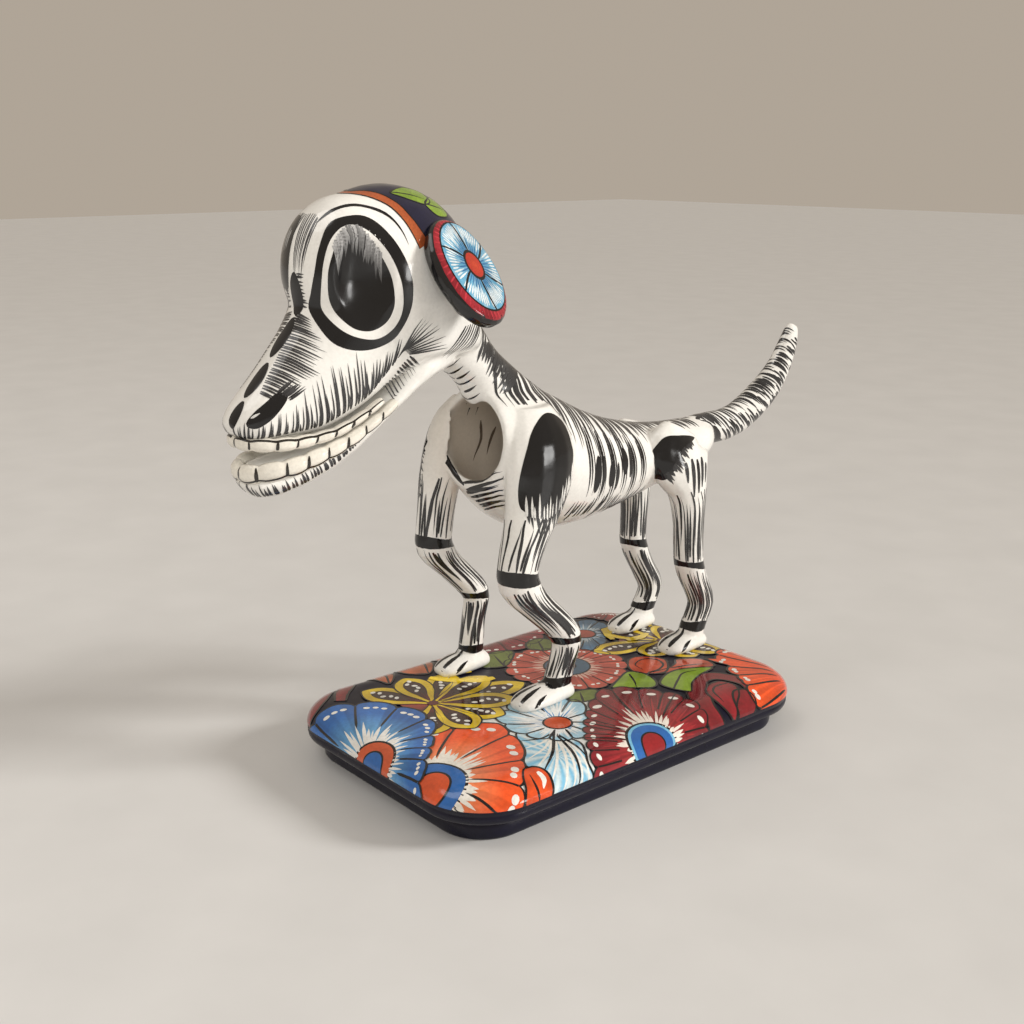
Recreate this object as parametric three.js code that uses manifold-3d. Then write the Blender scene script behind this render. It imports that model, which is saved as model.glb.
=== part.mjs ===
// A glazed earthenware calavera dog, a Day of the Dead figure, standing on a hollow moulded base.
// Millimetres, +Z up. The dog faces -Y, and its left side faces +X.
// The potter's own pieces are modelled one by one, each as it would be before the slip joins them:
// a moulded base with its foot ring, a torso shell open at the chest, a neck, a skull, a jaw,
// two strips of teeth, two ears, a tail, and legs made of thigh, shank, pastern and paw.

import * as THREE from "three";
import { mergeVertices } from "three/addons/utils/BufferGeometryUtils.js";
import Module from "manifold-3d";

const wasm = await Module();
wasm.setup();

// ---------------------------------------------------------------- driving dimensions

const GAP = 0.3; // clearance left at each slip joint

const BASE_WIDTH = 166;
const BASE_LENGTH = 250;
const BASE_CORNER = 34;
const LIP_LOW = 9.5; // underside of the base's lip
const LIP_HIGH = 17; // where the lip ends and the dome begins
const BASE_TOP = 27;
const DOME_RUN = 17; // how far in from the lip the dome levels out
const BASE_WALL = 7;
const FOOT_INSET = 8.5;
const TABLE = -2.5; // the underside of the foot ring
const FOOT_WALL = 10;

const MID = -17; // the dog stands a little towards the base's right side

// Stations across the body: [top y, top z, bottom y, bottom z, half width].
const TORSO_OUTSIDE = [
  [136, 155.5, 137, 148, 5],
  [133, 159.5, 135, 142, 12],
  [121, 161, 124, 135, 17.5],
  [103, 161.5, 104, 129.5, 19.5],
  [80, 164, 80, 125, 22],
  [55, 169.5, 55, 120, 26],
  [30, 178.5, 28, 115.5, 29.5],
  [8, 189.5, 0, 115.5, 31.5],
  [-12, 198, -24, 122.5, 32],
  [-30, 199.5, -38, 133.5, 30.5],
  [-42, 197, -47, 145.5, 28],
];
const TORSO_INSIDE = [
  [-41, 193, -45.5, 150.5, 24],
  [-29, 193, -35.5, 140, 25.5],
  [-12, 190, -22, 130, 26.5],
  [8, 180.5, 0, 124.5, 25.5],
  [28, 171, 26, 124.5, 23],
  [46, 162.5, 46, 130, 18],
  [55, 156, 55, 138, 10],
];
const NECK = [
  [9, 188, -24, 166, 16],
  [-7, 199, -38, 184, 15],
  [-20, 209, -46, 192, 13.5],
  [-31, 218.5, -52, 202, 12.5],
  [-39, 229.5, -62, 210, 13],
  [-46, 240, -74, 218, 15],
];
const MUZZLE = [
  [-66, 276, -45, 222, 15],
  [-84, 284, -52, 219, 23],
  [-107, 288, -70, 218.5, 27],
  [-124, 284, -90, 216, 28],
  [-135.5, 270, -107, 209, 26.5],
  [-141.5, 255, -120, 200.5, 24],
  [-149, 241, -132, 194.5, 21.5],
  [-158.5, 229.5, -144.5, 190.5, 19],
  [-167, 219, -157, 190.5, 17.5],
  [-175, 210.5, -168, 190, 15.5],
  [-181.5, 203.5, -176, 190.3, 12],
  [-184.5, 198.5, -182, 192.5, 6.5],
];
const JAW = [
  [-179.5, 174.5, -178.5, 168, 7],
  [-177, 177.5, -172, 161.5, 12],
  [-168, 179.5, -160, 161.8, 14.5],
  [-152, 182, -145, 166, 16],
  [-139, 185.5, -129, 173, 17],
  [-127, 190.5, -116, 182.5, 17.5],
  [-114, 198, -102, 193, 17.5],
  [-102, 209, -88, 202.5, 18.5],
  [-92, 221, -76, 208.5, 20.5],
  [-76, 229, -62, 213, 18],
];
const TAIL = [
  [119, 161, 121, 143, 8.5],
  [133, 162.5, 135, 143, 9.4],
  [160, 163.5, 166, 145, 8.6],
  [183, 175.5, 196, 160, 8],
  [199, 187.5, 212, 177.5, 6.8],
  [208, 201, 221, 196, 5],
  [214, 211.5, 223, 208, 3],
];

// The middle line of a leg from its top down, [x, y, z, half width across, half depth along].
const FRONT_LEFT = {
  line: [
    [3, -21, 189, 8, 12],
    [8, -21, 176, 13, 20],
    [11, -21.5, 160, 13.5, 22.5],
    [13, -26, 143, 12, 18.5],
    [14.5, -33, 126, 10.5, 13.5],
    [15, -38.5, 111, 10, 11.2],
    [15, -38.5, 99, 9.8, 11.2],
    [15, -27, 85, 8, 8.6],
    [15, -11, 70, 7.6, 8.2],
    [14.8, -4, 60, 7.6, 8.4],
    [14.5, -6.5, 49, 6.6, 7.4],
    [14, -10, 37, 7, 8],
    [14, -12, 31, 7, 8],
  ],
  cuts: [103, 61.5, 38],
  paw: [14, -1, -39.5, 9.8],
};
const FRONT_RIGHT = {
  line: [
    [-36, -27.5, 188, 8, 12],
    [-41, -31.5, 176, 12.5, 16],
    [-45, -36.5, 160, 13, 15],
    [-48, -41, 145, 11.5, 11.5],
    [-49.5, -43, 129, 10, 10.4],
    [-50, -44.5, 115, 9.2, 10.3],
    [-50, -44.5, 106, 9, 10.4],
    [-50.5, -35, 94, 7.4, 8],
    [-51, -21, 80, 7, 7.6],
    [-51, -14.5, 71, 7, 7.8],
    [-51.5, -16, 58, 6.2, 6.8],
    [-51.5, -18, 42, 6.4, 7.2],
    [-51.5, -19, 31, 6.6, 7.4],
  ],
  cuts: [109, 72, 39.5],
  paw: [-51.5, -7.5, -41.5, 9.5],
};
const REAR_LEFT = {
  line: [
    [1, 96, 161, 7, 13],
    [3.5, 92, 152, 10, 22.5],
    [6, 92.5, 140, 11, 20],
    [8, 96.5, 125, 9.8, 12.5],
    [9, 97.5, 108, 8.6, 9.4],
    [9, 98, 94, 8.4, 9],
    [9, 99.5, 80, 8.2, 8.8],
    [9, 106, 66, 7.2, 8],
    [9, 111, 55, 6.9, 8.3],
    [9, 107, 45, 6.7, 7.4],
    [9, 103.5, 38, 6.9, 8],
    [9, 102, 31, 7, 8],
  ],
  cuts: [81, 41],
  paw: [8, 113.5, 81, 9.8],
};
const REAR_RIGHT = {
  line: [
    [-34, 97, 160, 7, 12.5],
    [-37, 95, 150, 9.5, 20.5],
    [-38, 97, 138, 10, 17],
    [-38, 100, 122, 8.6, 11],
    [-37.5, 99.5, 106, 7.8, 8.6],
    [-37, 98.5, 94, 7.6, 8.2],
    [-37, 99, 83, 7.6, 8.2],
    [-37, 107, 67, 6.8, 7.4],
    [-37, 115, 53, 6.5, 8],
    [-37, 111.5, 44, 6.3, 7],
    [-37, 107.5, 37, 6.5, 7.6],
    [-37, 106, 31, 6.6, 7.6],
  ],
  cuts: [84, 40.5],
  paw: [-37, 115.5, 83, 9.5],
};

// ---------------------------------------------------------------- solids

// A closed mesh as a solid; a mesh whose faces point inwards is turned round first.
function solidOf(geometry) {
  const bare = geometry.clone();
  bare.deleteAttribute("normal");
  bare.deleteAttribute("uv");
  const merged = mergeVertices(bare, 1e-3);
  const options = {
    numProp: 3,
    vertProperties: new Float32Array(merged.attributes.position.array),
    triVerts: new Uint32Array(merged.index.array),
  };
  const solid = new wasm.Manifold(new wasm.Mesh(options));
  if (solid.volume() > 0) return solid;
  const triVerts = options.triVerts;
  for (let i = 0; i < triVerts.length; i += 3) {
    [triVerts[i + 1], triVerts[i + 2]] = [triVerts[i + 2], triVerts[i + 1]];
  }
  return new wasm.Manifold(new wasm.Mesh(options));
}

function geometryOf(solid) {
  const mesh = solid.getMesh();
  const geometry = new THREE.BufferGeometry();
  const positions = new THREE.BufferAttribute(mesh.vertProperties, 3);
  geometry.setAttribute("position", positions);
  geometry.setIndex(new THREE.BufferAttribute(mesh.triVerts, 1));
  geometry.computeVertexNormals();
  return geometry;
}

// The largest body of a solid, when a cut has left crumbs beside it.
function wholePiece(solid) {
  const bodies = solid.decompose();
  return bodies.reduce((best, body) => (body.volume() > best.volume() ? body : best));
}

// A closed skin over rings that all have the same number of points, with a point closing each end.
function skin(rings, firstPoint, lastPoint) {
  const sides = rings[0].length;
  const points = [firstPoint, ...rings.flat(), lastPoint];
  const faces = [];
  const last = points.length - 1;
  for (let k = 0; k < sides; k += 1) {
    const next = (k + 1) % sides;
    faces.push(0, 1 + next, 1 + k);
    for (let r = 0; r + 1 < rings.length; r += 1) {
      const low = 1 + r * sides;
      const high = low + sides;
      faces.push(low + k, low + next, high + next, low + k, high + next, high + k);
    }
    const end = 1 + (rings.length - 1) * sides;
    faces.push(end + k, end + next, last);
  }
  const geometry = new THREE.BufferGeometry().setFromPoints(points);
  geometry.setIndex(faces);
  return geometry;
}

function average(points) {
  const sum = points.reduce((total, p) => total.add(p), new THREE.Vector3());
  return sum.divideScalar(points.length);
}

// Points between the rows of a table, on a smooth curve through every column.
function smoothRows(rows, steps) {
  const columns = rows[0].map((_, c) => {
    const points = rows.map((row, i) => new THREE.Vector3(i, row[c], 0));
    return new THREE.CatmullRomCurve3(points, false, "catmullrom", 0.5);
  });
  return Array.from({ length: steps + 1 }, (_, i) =>
    columns.map((curve) => curve.getPoint(i / steps).y),
  );
}

const signedPower = (value, power) => Math.sign(value) * Math.abs(value) ** power;

// One ring of a body station, an ellipse whose upright diameter runs from its top to its bottom.
// An underside below 1 squares off its lower half.
function stationRing([topY, topZ, lowY, lowZ, half], sides, grow, underside = 1) {
  const top = new THREE.Vector3(MID, topY, topZ);
  const low = new THREE.Vector3(MID, lowY, lowZ);
  const middle = top.clone().lerp(low, 0.5);
  const up = top.sub(middle);
  up.setLength(up.length() + grow);
  return Array.from({ length: sides }, (_, k) => {
    const angle = (2 * Math.PI * k) / sides;
    const power = Math.cos(angle) < 0 ? underside : 1;
    const point = middle.clone().addScaledVector(up, signedPower(Math.cos(angle), power));
    point.x += (half + grow) * signedPower(Math.sin(angle), power);
    return point;
  });
}

function stationLoft(stations, steps, sides, grow = 0, underside = 1) {
  const rings = smoothRows(stations, steps).map((s) => stationRing(s, sides, grow, underside));
  return skin(rings, average(rings[0]), average(rings.at(-1)));
}

function ellipsoid([x, y, z], [a, b, c], tilt = 0, across = 24, down = 16) {
  const geometry = new THREE.SphereGeometry(1, across, down);
  geometry.scale(a, b, c);
  geometry.rotateX(tilt);
  geometry.translate(x, y, z);
  return solidOf(geometry);
}

function pairAbout(offset) {
  return [MID + offset, MID - offset];
}

// ---------------------------------------------------------------- base

const CORNER_STEPS = 6;

function roundedRing(inset, z) {
  const radius = Math.max(BASE_CORNER - inset, 4);
  const reachX = BASE_WIDTH / 2 - inset - radius;
  const reachY = BASE_LENGTH / 2 - inset - radius;
  const corners = [[1, 1], [-1, 1], [-1, -1], [1, -1]];
  return corners.flatMap(([sx, sy], corner) =>
    Array.from({ length: CORNER_STEPS + 1 }, (_, i) => {
      const angle = (Math.PI / 2) * (corner + i / CORNER_STEPS);
      const x = sx * reachX + radius * Math.cos(angle);
      const y = sy * reachY + radius * Math.sin(angle);
      return new THREE.Vector3(x, y, z);
    }),
  );
}

// The dome from the lip up to where it is level, an upright quarter ellipse.
function domeRings(steps, shell) {
  const rise = BASE_TOP - LIP_HIGH;
  return Array.from({ length: steps + 1 }, (_, i) => {
    const angle = (Math.PI / 2) * (i / steps);
    const inset = shell + DOME_RUN * (1 - Math.cos(angle));
    return roundedRing(inset, LIP_HIGH - shell + rise * Math.sin(angle));
  });
}

function baseSlab() {
  const outside = [
    roundedRing(2.2, LIP_LOW),
    roundedRing(0.5, LIP_LOW + 1),
    roundedRing(0, LIP_LOW + 2.8),
    roundedRing(0, LIP_HIGH - 2),
    ...domeRings(6, 0),
  ];
  const inside = [roundedRing(BASE_WALL, LIP_LOW), ...domeRings(3, BASE_WALL)].reverse();
  const first = new THREE.Vector3(0, 0, BASE_TOP - BASE_WALL);
  const last = new THREE.Vector3(0, 0, BASE_TOP);
  return solidOf(skin([...inside, ...outside], first, last));
}

function baseFoot() {
  const inner = FOOT_INSET + FOOT_WALL;
  const top = LIP_LOW - GAP;
  const section = [
    [FOOT_INSET + 1.5, TABLE],
    [FOOT_INSET + 0.4, TABLE + 1.2],
    [FOOT_INSET, top],
    [inner, top],
    [inner - 0.4, TABLE + 1.2],
    [inner - 1.5, TABLE],
  ];
  const rings = section.map(([inset, z]) => roundedRing(inset, z));
  const sides = rings[0].length;
  const faces = [];
  rings.forEach((_, r) => {
    const low = r * sides;
    const high = ((r + 1) % rings.length) * sides;
    for (let k = 0; k < sides; k += 1) {
      const next = (k + 1) % sides;
      faces.push(low + k, low + next, high + next, low + k, high + next, high + k);
    }
  });
  const geometry = new THREE.BufferGeometry().setFromPoints(rings.flat());
  geometry.setIndex(faces);
  return solidOf(geometry);
}

// ---------------------------------------------------------------- torso, neck and tail

const BODY_SIDES = 24;

function torsoShell() {
  const outside = smoothRows(TORSO_OUTSIDE, 20).map((s) => stationRing(s, BODY_SIDES, 0));
  const inside = smoothRows(TORSO_INSIDE, 9).map((s) => stationRing(s, BODY_SIDES, 0));
  const geometry = skin([...outside, ...inside], average(outside[0]), average(inside.at(-1)));
  return solidOf(geometry);
}

function torsoBlock() {
  return solidOf(stationLoft(TORSO_OUTSIDE, 20, BODY_SIDES, GAP));
}

// ---------------------------------------------------------------- head

const MUZZLE_UNDERSIDE = 0.5;
const CRANIUM = { at: [MID, -98, 258], size: [32, 49, 43.8] };
const FOREHEAD = { at: [MID, -118, 263.5], size: [30, 30, 34.2] };
const SOCKET = { out: 36.5, y: -130, z: 260, size: [17.5, 20.5, 30.5], tilt: -0.12 };

function skullBlock(grow) {
  const domes = [CRANIUM, FOREHEAD].map(({ at, size }) =>
    ellipsoid(at, size.map((s) => s + grow), 0, 28, 18),
  );
  const muzzle = solidOf(stationLoft(MUZZLE, 16, BODY_SIDES, grow, MUZZLE_UNDERSIDE));
  return muzzle.add(domes[0]).add(domes[1]);
}

function skull() {
  let head = skullBlock(0);
  for (const x of pairAbout(SOCKET.out)) {
    const socket = ellipsoid([x, SOCKET.y, SOCKET.z], SOCKET.size, SOCKET.tilt);
    head = head.subtract(socket);
  }
  return head;
}

// The edge line of a row of teeth on one side, from the front tooth back: [x out, y, z].
const UPPER_ROW = [
  [0, -179.5, 189.3],
  [8, -177.5, 189],
  [13.5, -170, 188.4],
  [16.5, -160, 188.4],
  [18.2, -150, 189.3],
  [19.8, -140, 191.2],
  [21, -131.5, 194.6],
  [22, -123.5, 198.8],
  [22.6, -115, 203.8],
];
const LOWER_ROW = [
  [0, -177.8, 174.3],
  [8, -175.8, 174.8],
  [13, -169, 176],
  [16, -159.5, 177.5],
  [17.4, -148, 180.6],
  [18.4, -138, 183.8],
  [19.2, -129, 187.6],
  [19.6, -121, 192],
  [19.8, -113, 196.6],
  [19.6, -105.5, 201.5],
];
const TOOTH_STEPS = 5;
const TEETH_A_SIDE = 8;

// A strip of clay swept round the mouth, pinched between the teeth and lower towards its ends.
function teethStrip(row, half, tall, grow) {
  const mirrored = row.slice(1).reverse().map(([x, y, z]) => [-x, y, z]);
  const points = [...mirrored, ...row].map(([x, y, z]) => new THREE.Vector3(MID + x, y, z));
  const path = new THREE.CatmullRomCurve3(points);
  const steps = 2 * TEETH_A_SIDE * TOOTH_STEPS;
  const sides = 8;
  const rings = [];
  for (let i = 0; i <= steps; i += 1) {
    const along = i / steps;
    const bulge = Math.abs(Math.sin((Math.PI * i) / TOOTH_STEPS));
    const end = 0.5 + Math.sin(Math.PI * along) / 2;
    const swell = 0.82 + 0.18 * Math.sqrt(bulge);
    const at = path.getPointAt(along);
    const forward = path.getTangentAt(along);
    const out = new THREE.Vector3().crossVectors(forward, new THREE.Vector3(0, 0, 1)).normalize();
    const up = new THREE.Vector3().crossVectors(out, forward).normalize();
    rings.push(
      Array.from({ length: sides }, (_, k) => {
        const angle = (2 * Math.PI * (k + 0.5)) / sides;
        const point = at.clone();
        point.addScaledVector(out, (half * swell + grow) * Math.cos(angle));
        return point.addScaledVector(up, (tall * swell * end + grow) * Math.sin(angle));
      }),
    );
  }
  return solidOf(skin(rings, average(rings[0]), average(rings.at(-1))));
}

const upperTeeth = (grow) => teethStrip(UPPER_ROW, 2.9, 3.6, grow);
const lowerTeeth = (grow) => teethStrip(LOWER_ROW, 3.4, 4.8, grow);

const EAR = {
  out: 37,
  y: -76,
  z: 261,
  long: 28.5,
  wide: 21.8,
  thick: 9,
  normal: [0.79, 0.24, 0.56],
};

// A thick oval flap with a softly domed face and a rounded edge, facing +Z before it is set in place.
function earGeometry(side) {
  const half = EAR.thick / 2;
  const profile = [
    [0, half + 1],
    [0.45, half + 0.8],
    [0.8, half + 0.2],
    [0.93, half - 0.6],
    [1, half - 3],
    [0.97, -half + 1.6],
    [0.86, -half + 0.2],
    [0, -half],
  ].map(([r, z]) => new THREE.Vector2(r, z));
  const geometry = new THREE.LatheGeometry(profile, 28);
  geometry.rotateX(Math.PI / 2);
  geometry.scale(EAR.wide, EAR.long, 1);
  const normal = new THREE.Vector3(...EAR.normal);
  const down = new THREE.Vector3(0, 0, -1).addScaledVector(normal, normal.z).normalize();
  const across = new THREE.Vector3().crossVectors(down, normal);
  const set = new THREE.Matrix4().makeBasis(across, down, normal);
  set.setPosition(EAR.out, EAR.y, EAR.z);
  geometry.applyMatrix4(set);
  geometry.scale(side, 1, 1);
  geometry.translate(MID, 0, 0);
  return geometry;
}

// ---------------------------------------------------------------- legs

const LEG_SIDES = 16;
const LEG_RINGS = 30;

// A whole leg: rings square to its middle line from the top of the line to its foot.
function legSolid(line) {
  const rows = smoothRows(line, LEG_RINGS);
  const rings = rows.map((row, i) => {
    const ahead = rows[Math.min(i + 1, rows.length - 1)];
    const behind = rows[Math.max(i - 1, 0)];
    const along = new THREE.Vector3(0, ahead[1] - behind[1], ahead[2] - behind[2]).normalize();
    const deep = new THREE.Vector3(0, along.z, -along.y);
    return Array.from({ length: LEG_SIDES }, (_, k) => {
      const angle = (2 * Math.PI * k) / LEG_SIDES;
      const point = new THREE.Vector3(row[0], row[1], row[2]);
      point.x += row[3] * Math.cos(angle);
      return point.addScaledVector(deep, row[4] * Math.sin(angle));
    });
  });
  return solidOf(skin(rings, average(rings[0]), average(rings.at(-1))));
}

const UP = [0, 0, 1];
const DOWN = [0, 0, -1];
const between = (solid, high, low) => solid.trimByPlane(DOWN, -high).trimByPlane(UP, low);

// A paw's rings from the heel to the toes: [share of its length, half width share, height].
const PAW_SHAPE = [
  [0, 0.45, 6],
  [0.08, 0.72, 8.5],
  [0.28, 0.9, 10],
  [0.5, 1, 9.8],
  [0.72, 1, 8.6],
  [0.9, 0.86, 6.5],
  [1, 0.5, 4],
];
const PAW_FLOOR = BASE_TOP + GAP;

function pawSolid([x, heelY, toeY, half]) {
  const rings = smoothRows(PAW_SHAPE, 9).map(([share, width, height]) => {
    const y = heelY + (toeY - heelY) * share;
    return Array.from({ length: LEG_SIDES }, (_, k) => {
      const angle = (2 * Math.PI * k) / LEG_SIDES;
      const lift = Math.max(0, 0.42 + 0.58 * Math.sin(angle));
      return new THREE.Vector3(x + half * width * Math.cos(angle), y, PAW_FLOOR + height * lift);
    });
  });
  return solidOf(skin(rings, average(rings[0]), average(rings.at(-1))));
}

// ---------------------------------------------------------------- materials and assembly

function glaze(color, roughness = 0.15) {
  return new THREE.MeshStandardMaterial({ color, roughness, metalness: 0 });
}
const WHITE = glaze(0xe9e6dc);
const TOOTH = glaze(0xdcd5bf);
const COBALT = glaze(0x1d1b3a);
const FLOWERED = glaze(0x7c2b2a);
const EAR_BLUE = glaze(0x6fb3cf);

const figure = new THREE.Group();

function addPiece(name, solid, material) {
  const mesh = new THREE.Mesh(geometryOf(wholePiece(solid)), material);
  mesh.name = name;
  figure.add(mesh);
}

const torsoCut = torsoBlock();
const skullCut = skullBlock(GAP);
const tailSolid = solidOf(stationLoft(TAIL, 14, 16));
const neckSolid = solidOf(stationLoft(NECK, 9, 20));

addPiece("base_slab", baseSlab(), FLOWERED);
addPiece("base_foot", baseFoot(), COBALT);
addPiece("torso", torsoShell(), WHITE);
addPiece("tail", tailSolid.subtract(torsoCut), WHITE);

const jawSolid = solidOf(stationLoft(JAW, 10, 20));
const jawBlock = solidOf(stationLoft(JAW, 10, 20, GAP));
const upperRow = upperTeeth(0).subtract(skullCut).subtract(jawBlock);
const lowerRow = lowerTeeth(0).subtract(skullCut).subtract(upperTeeth(GAP));
addPiece("neck", neckSolid.subtract(torsoCut).subtract(skullCut).subtract(jawBlock), WHITE);
addPiece("skull", skull(), WHITE);
addPiece("jaw", jawSolid.subtract(skullCut).subtract(lowerTeeth(GAP)), WHITE);
addPiece("upper_teeth", upperRow, TOOTH);
addPiece("lower_teeth", lowerRow, TOOTH);
for (const [name, side] of [["ear_left", 1], ["ear_right", -1]]) {
  addPiece(name, solidOf(earGeometry(side)).subtract(skullCut), EAR_BLUE);
}

function addLeg(name, leg, parts) {
  const whole = legSolid(leg.line);
  const edges = [leg.line[0][2] + leg.line[0][4], ...leg.cuts];
  parts.forEach((part, i) => {
    const piece = between(whole, edges[i] - GAP, edges[i + 1]);
    addPiece(name + "_" + part, piece.subtract(torsoCut), WHITE);
  });
  const stub = between(whole, leg.cuts.at(-1) - GAP, PAW_FLOOR);
  addPiece(name + "_paw", pawSolid(leg.paw).add(stub), WHITE);
}

const FRONT_PARTS = ["shoulder", "forearm", "pastern"];
const REAR_PARTS = ["thigh", "shank"];
addLeg("front_left", FRONT_LEFT, FRONT_PARTS);
addLeg("front_right", FRONT_RIGHT, FRONT_PARTS);
addLeg("rear_left", REAR_LEFT, REAR_PARTS);
addLeg("rear_right", REAR_RIGHT, REAR_PARTS);

// The origin is under the middle of the figure's length and width, on the table.
const extent = new THREE.Box3().setFromObject(figure);
figure.position.set(0, -(extent.min.y + extent.max.y) / 2, -extent.min.z);

export default figure;
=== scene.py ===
# Looks for a glazed earthenware calavera dog on a painted, moulded base.
# Lengths named below are in millimetres, measured from the middle of the base's foot ring.

import math
import random

import bmesh
import bpy
import numpy as np
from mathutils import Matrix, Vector
from mathutils.bvhtree import BVHTree
from mathutils.interpolate import poly_3d_calc


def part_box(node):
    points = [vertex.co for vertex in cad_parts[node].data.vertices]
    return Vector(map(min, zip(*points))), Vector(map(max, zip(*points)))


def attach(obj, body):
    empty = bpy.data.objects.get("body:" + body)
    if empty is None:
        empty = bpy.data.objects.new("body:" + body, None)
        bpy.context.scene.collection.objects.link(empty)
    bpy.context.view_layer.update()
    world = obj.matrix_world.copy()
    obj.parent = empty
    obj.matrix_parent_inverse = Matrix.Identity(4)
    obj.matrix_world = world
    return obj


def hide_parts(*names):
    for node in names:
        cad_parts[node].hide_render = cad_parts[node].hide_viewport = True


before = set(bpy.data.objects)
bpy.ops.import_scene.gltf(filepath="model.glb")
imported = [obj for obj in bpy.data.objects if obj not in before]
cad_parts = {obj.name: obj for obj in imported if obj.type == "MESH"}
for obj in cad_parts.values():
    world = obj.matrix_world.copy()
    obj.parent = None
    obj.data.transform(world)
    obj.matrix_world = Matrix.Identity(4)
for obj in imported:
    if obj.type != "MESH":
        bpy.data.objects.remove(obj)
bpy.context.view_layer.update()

# ---------------------------------------------------------------- sizes and places

MM = 0.001
TABLE = -2.5  # height of the table in the design's own millimetres
MID = -17  # the dog's middle plane
foot_low, foot_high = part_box("base_foot")
ORIGIN = Vector((
    (foot_low.x + foot_high.x) / 2,
    (foot_low.y + foot_high.y) / 2,
    foot_low.z - TABLE * MM,
))

BODY_NODES = ["torso", "neck", "tail", "skull", "jaw"]
LEGS = ["front_left", "front_right", "rear_left", "rear_right"]
LEG_NODES = [
    leg + "_" + part
    for leg in LEGS
    for part in (["shoulder", "forearm", "pastern", "paw"] if "front" in leg else ["thigh", "shank", "paw"])
]


def at(x, y, z):
    return ORIGIN + Vector((x, y, z)) * MM


# ---------------------------------------------------------------- materials

COAT_ROUGHNESS = 0.05
PATCH_SIZE = 14  # how wide the glaze's soft patches are, in millimetres
PATCH_DEPTH = 0.35  # how much the glaze's thickness varies over them, in millimetres
BUMP_STRENGTH = 0.5
SPECK_SHARE = 0.7  # how strongly the fine specks darken the glaze
SMOOTHEST, ROUGHEST = 0.7, 1.5  # the least and greatest roughness, as shares of the glaze's own


def material(name, roughness, coat=0.0):
    made = bpy.data.materials.new(name)
    made.use_nodes = True
    shader = made.node_tree.nodes["Principled BSDF"]
    shader.inputs["Roughness"].default_value = roughness
    shader.inputs["Coat Weight"].default_value = coat
    shader.inputs["Coat Roughness"].default_value = COAT_ROUGHNESS
    return made, shader


def node(made, kind, **inputs):
    new = made.node_tree.nodes.new(kind)
    for key, value in inputs.items():
        new.inputs[key.replace("_", " ")].default_value = value
    return new


def noise(made, size, detail=3.0):
    """Noise whose features are about size millimetres across."""
    where = made.node_tree.nodes.new("ShaderNodeTexCoord")
    cloud = node(made, "ShaderNodeTexNoise", Scale=1 / (size * MM), Detail=detail)
    made.node_tree.links.new(where.outputs["Object"], cloud.inputs["Vector"])
    return cloud


def ramp(made, source, low, high, start=0.3, end=0.7):
    """A colour that runs from low to high as source runs from start to end."""
    colours = made.node_tree.nodes.new("ShaderNodeValToRGB")
    colours.color_ramp.elements[0].position = start
    colours.color_ramp.elements[1].position = end
    colours.color_ramp.elements[0].color = (*low, 1)
    colours.color_ramp.elements[1].color = (*high, 1)
    made.node_tree.links.new(source, colours.inputs["Fac"])
    return colours


def multiply(made, first, second, amount=1.0):
    mix = made.node_tree.nodes.new("ShaderNodeMix")
    mix.data_type = "RGBA"
    mix.blend_type = "MULTIPLY"
    mix.inputs["Factor"].default_value = amount
    made.node_tree.links.new(first, mix.inputs["A"])
    made.node_tree.links.new(second, mix.inputs["B"])
    return mix.outputs["Result"]


def bump(made, shader, height, strength, distance):
    """Raises the surface by height, distance millimetres at most."""
    lift = node(made, "ShaderNodeBump", Strength=strength, Distance=distance * MM)
    made.node_tree.links.new(height, lift.inputs["Height"])
    made.node_tree.links.new(lift.outputs["Normal"], shader.inputs["Normal"])


def painted(name, roughness, mottle, grain, coat=0.4, shine=0.5):
    """Glaze coloured by the mesh's paint, darkened down to mottle in soft patches and in specks."""
    made, shader = material(name, roughness, coat)
    shader.inputs["Specular IOR Level"].default_value = shine
    paint = made.node_tree.nodes.new("ShaderNodeVertexColor")
    paint.layer_name = "paint"
    patches = noise(made, PATCH_SIZE)
    specks = noise(made, grain, 2.0)
    wide = ramp(made, patches.outputs["Fac"], (mottle,) * 3, (1, 1, 1))
    fine = ramp(made, specks.outputs["Fac"], (mottle,) * 3, (1, 1, 1), 0.35, 0.6)
    colour = multiply(made, paint.outputs["Color"], wide.outputs["Color"])
    colour = multiply(made, colour, fine.outputs["Color"], SPECK_SHARE)
    made.node_tree.links.new(colour, shader.inputs["Base Color"])
    rough = ramp(made, patches.outputs["Fac"], (roughness * SMOOTHEST,) * 3, (roughness * ROUGHEST,) * 3)
    made.node_tree.links.new(rough.outputs["Color"], shader.inputs["Roughness"])
    bump(made, shader, patches.outputs["Fac"], BUMP_STRENGTH, PATCH_DEPTH)
    return made


WHITE_GLAZE = painted("white_glaze", 0.16, 0.93, 1.6)
TOOTH_GLAZE = painted("tooth_glaze", 0.14, 0.88, 1.2)
EAR_GLAZE = painted("ear_glaze", 0.14, 0.85, 1.5)
BASE_GLAZE = painted("painted_glaze", 0.14, 0.82, 1.8)
COBALT_GLAZE = painted("cobalt_glaze", 0.3, 0.75, 2.5, coat=0.1, shine=0.3)
INK_GLAZE = painted("ink_glaze", 0.16, 0.7, 0.9, coat=0.25)

WHITE = (0.84, 0.83, 0.79)
TOOTH = (0.80, 0.765, 0.68)
BLACK = (0.0045, 0.0045, 0.0055)
COBALT = (0.004, 0.0036, 0.016)

# ---------------------------------------------------------------- meshes


def bare_copy(name, grow):
    """A CAD node's mesh with its corners joined, grown outwards by grow millimetres."""
    shell = bmesh.new()
    shell.from_mesh(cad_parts[name].data)
    bmesh.ops.remove_doubles(shell, verts=shell.verts, dist=0.002 * MM)
    shell.normal_update()
    moved = [(v, v.co + v.normal * grow * MM) for v in shell.verts]
    for vertex, place in moved:
        vertex.co = place
    return shell


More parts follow.
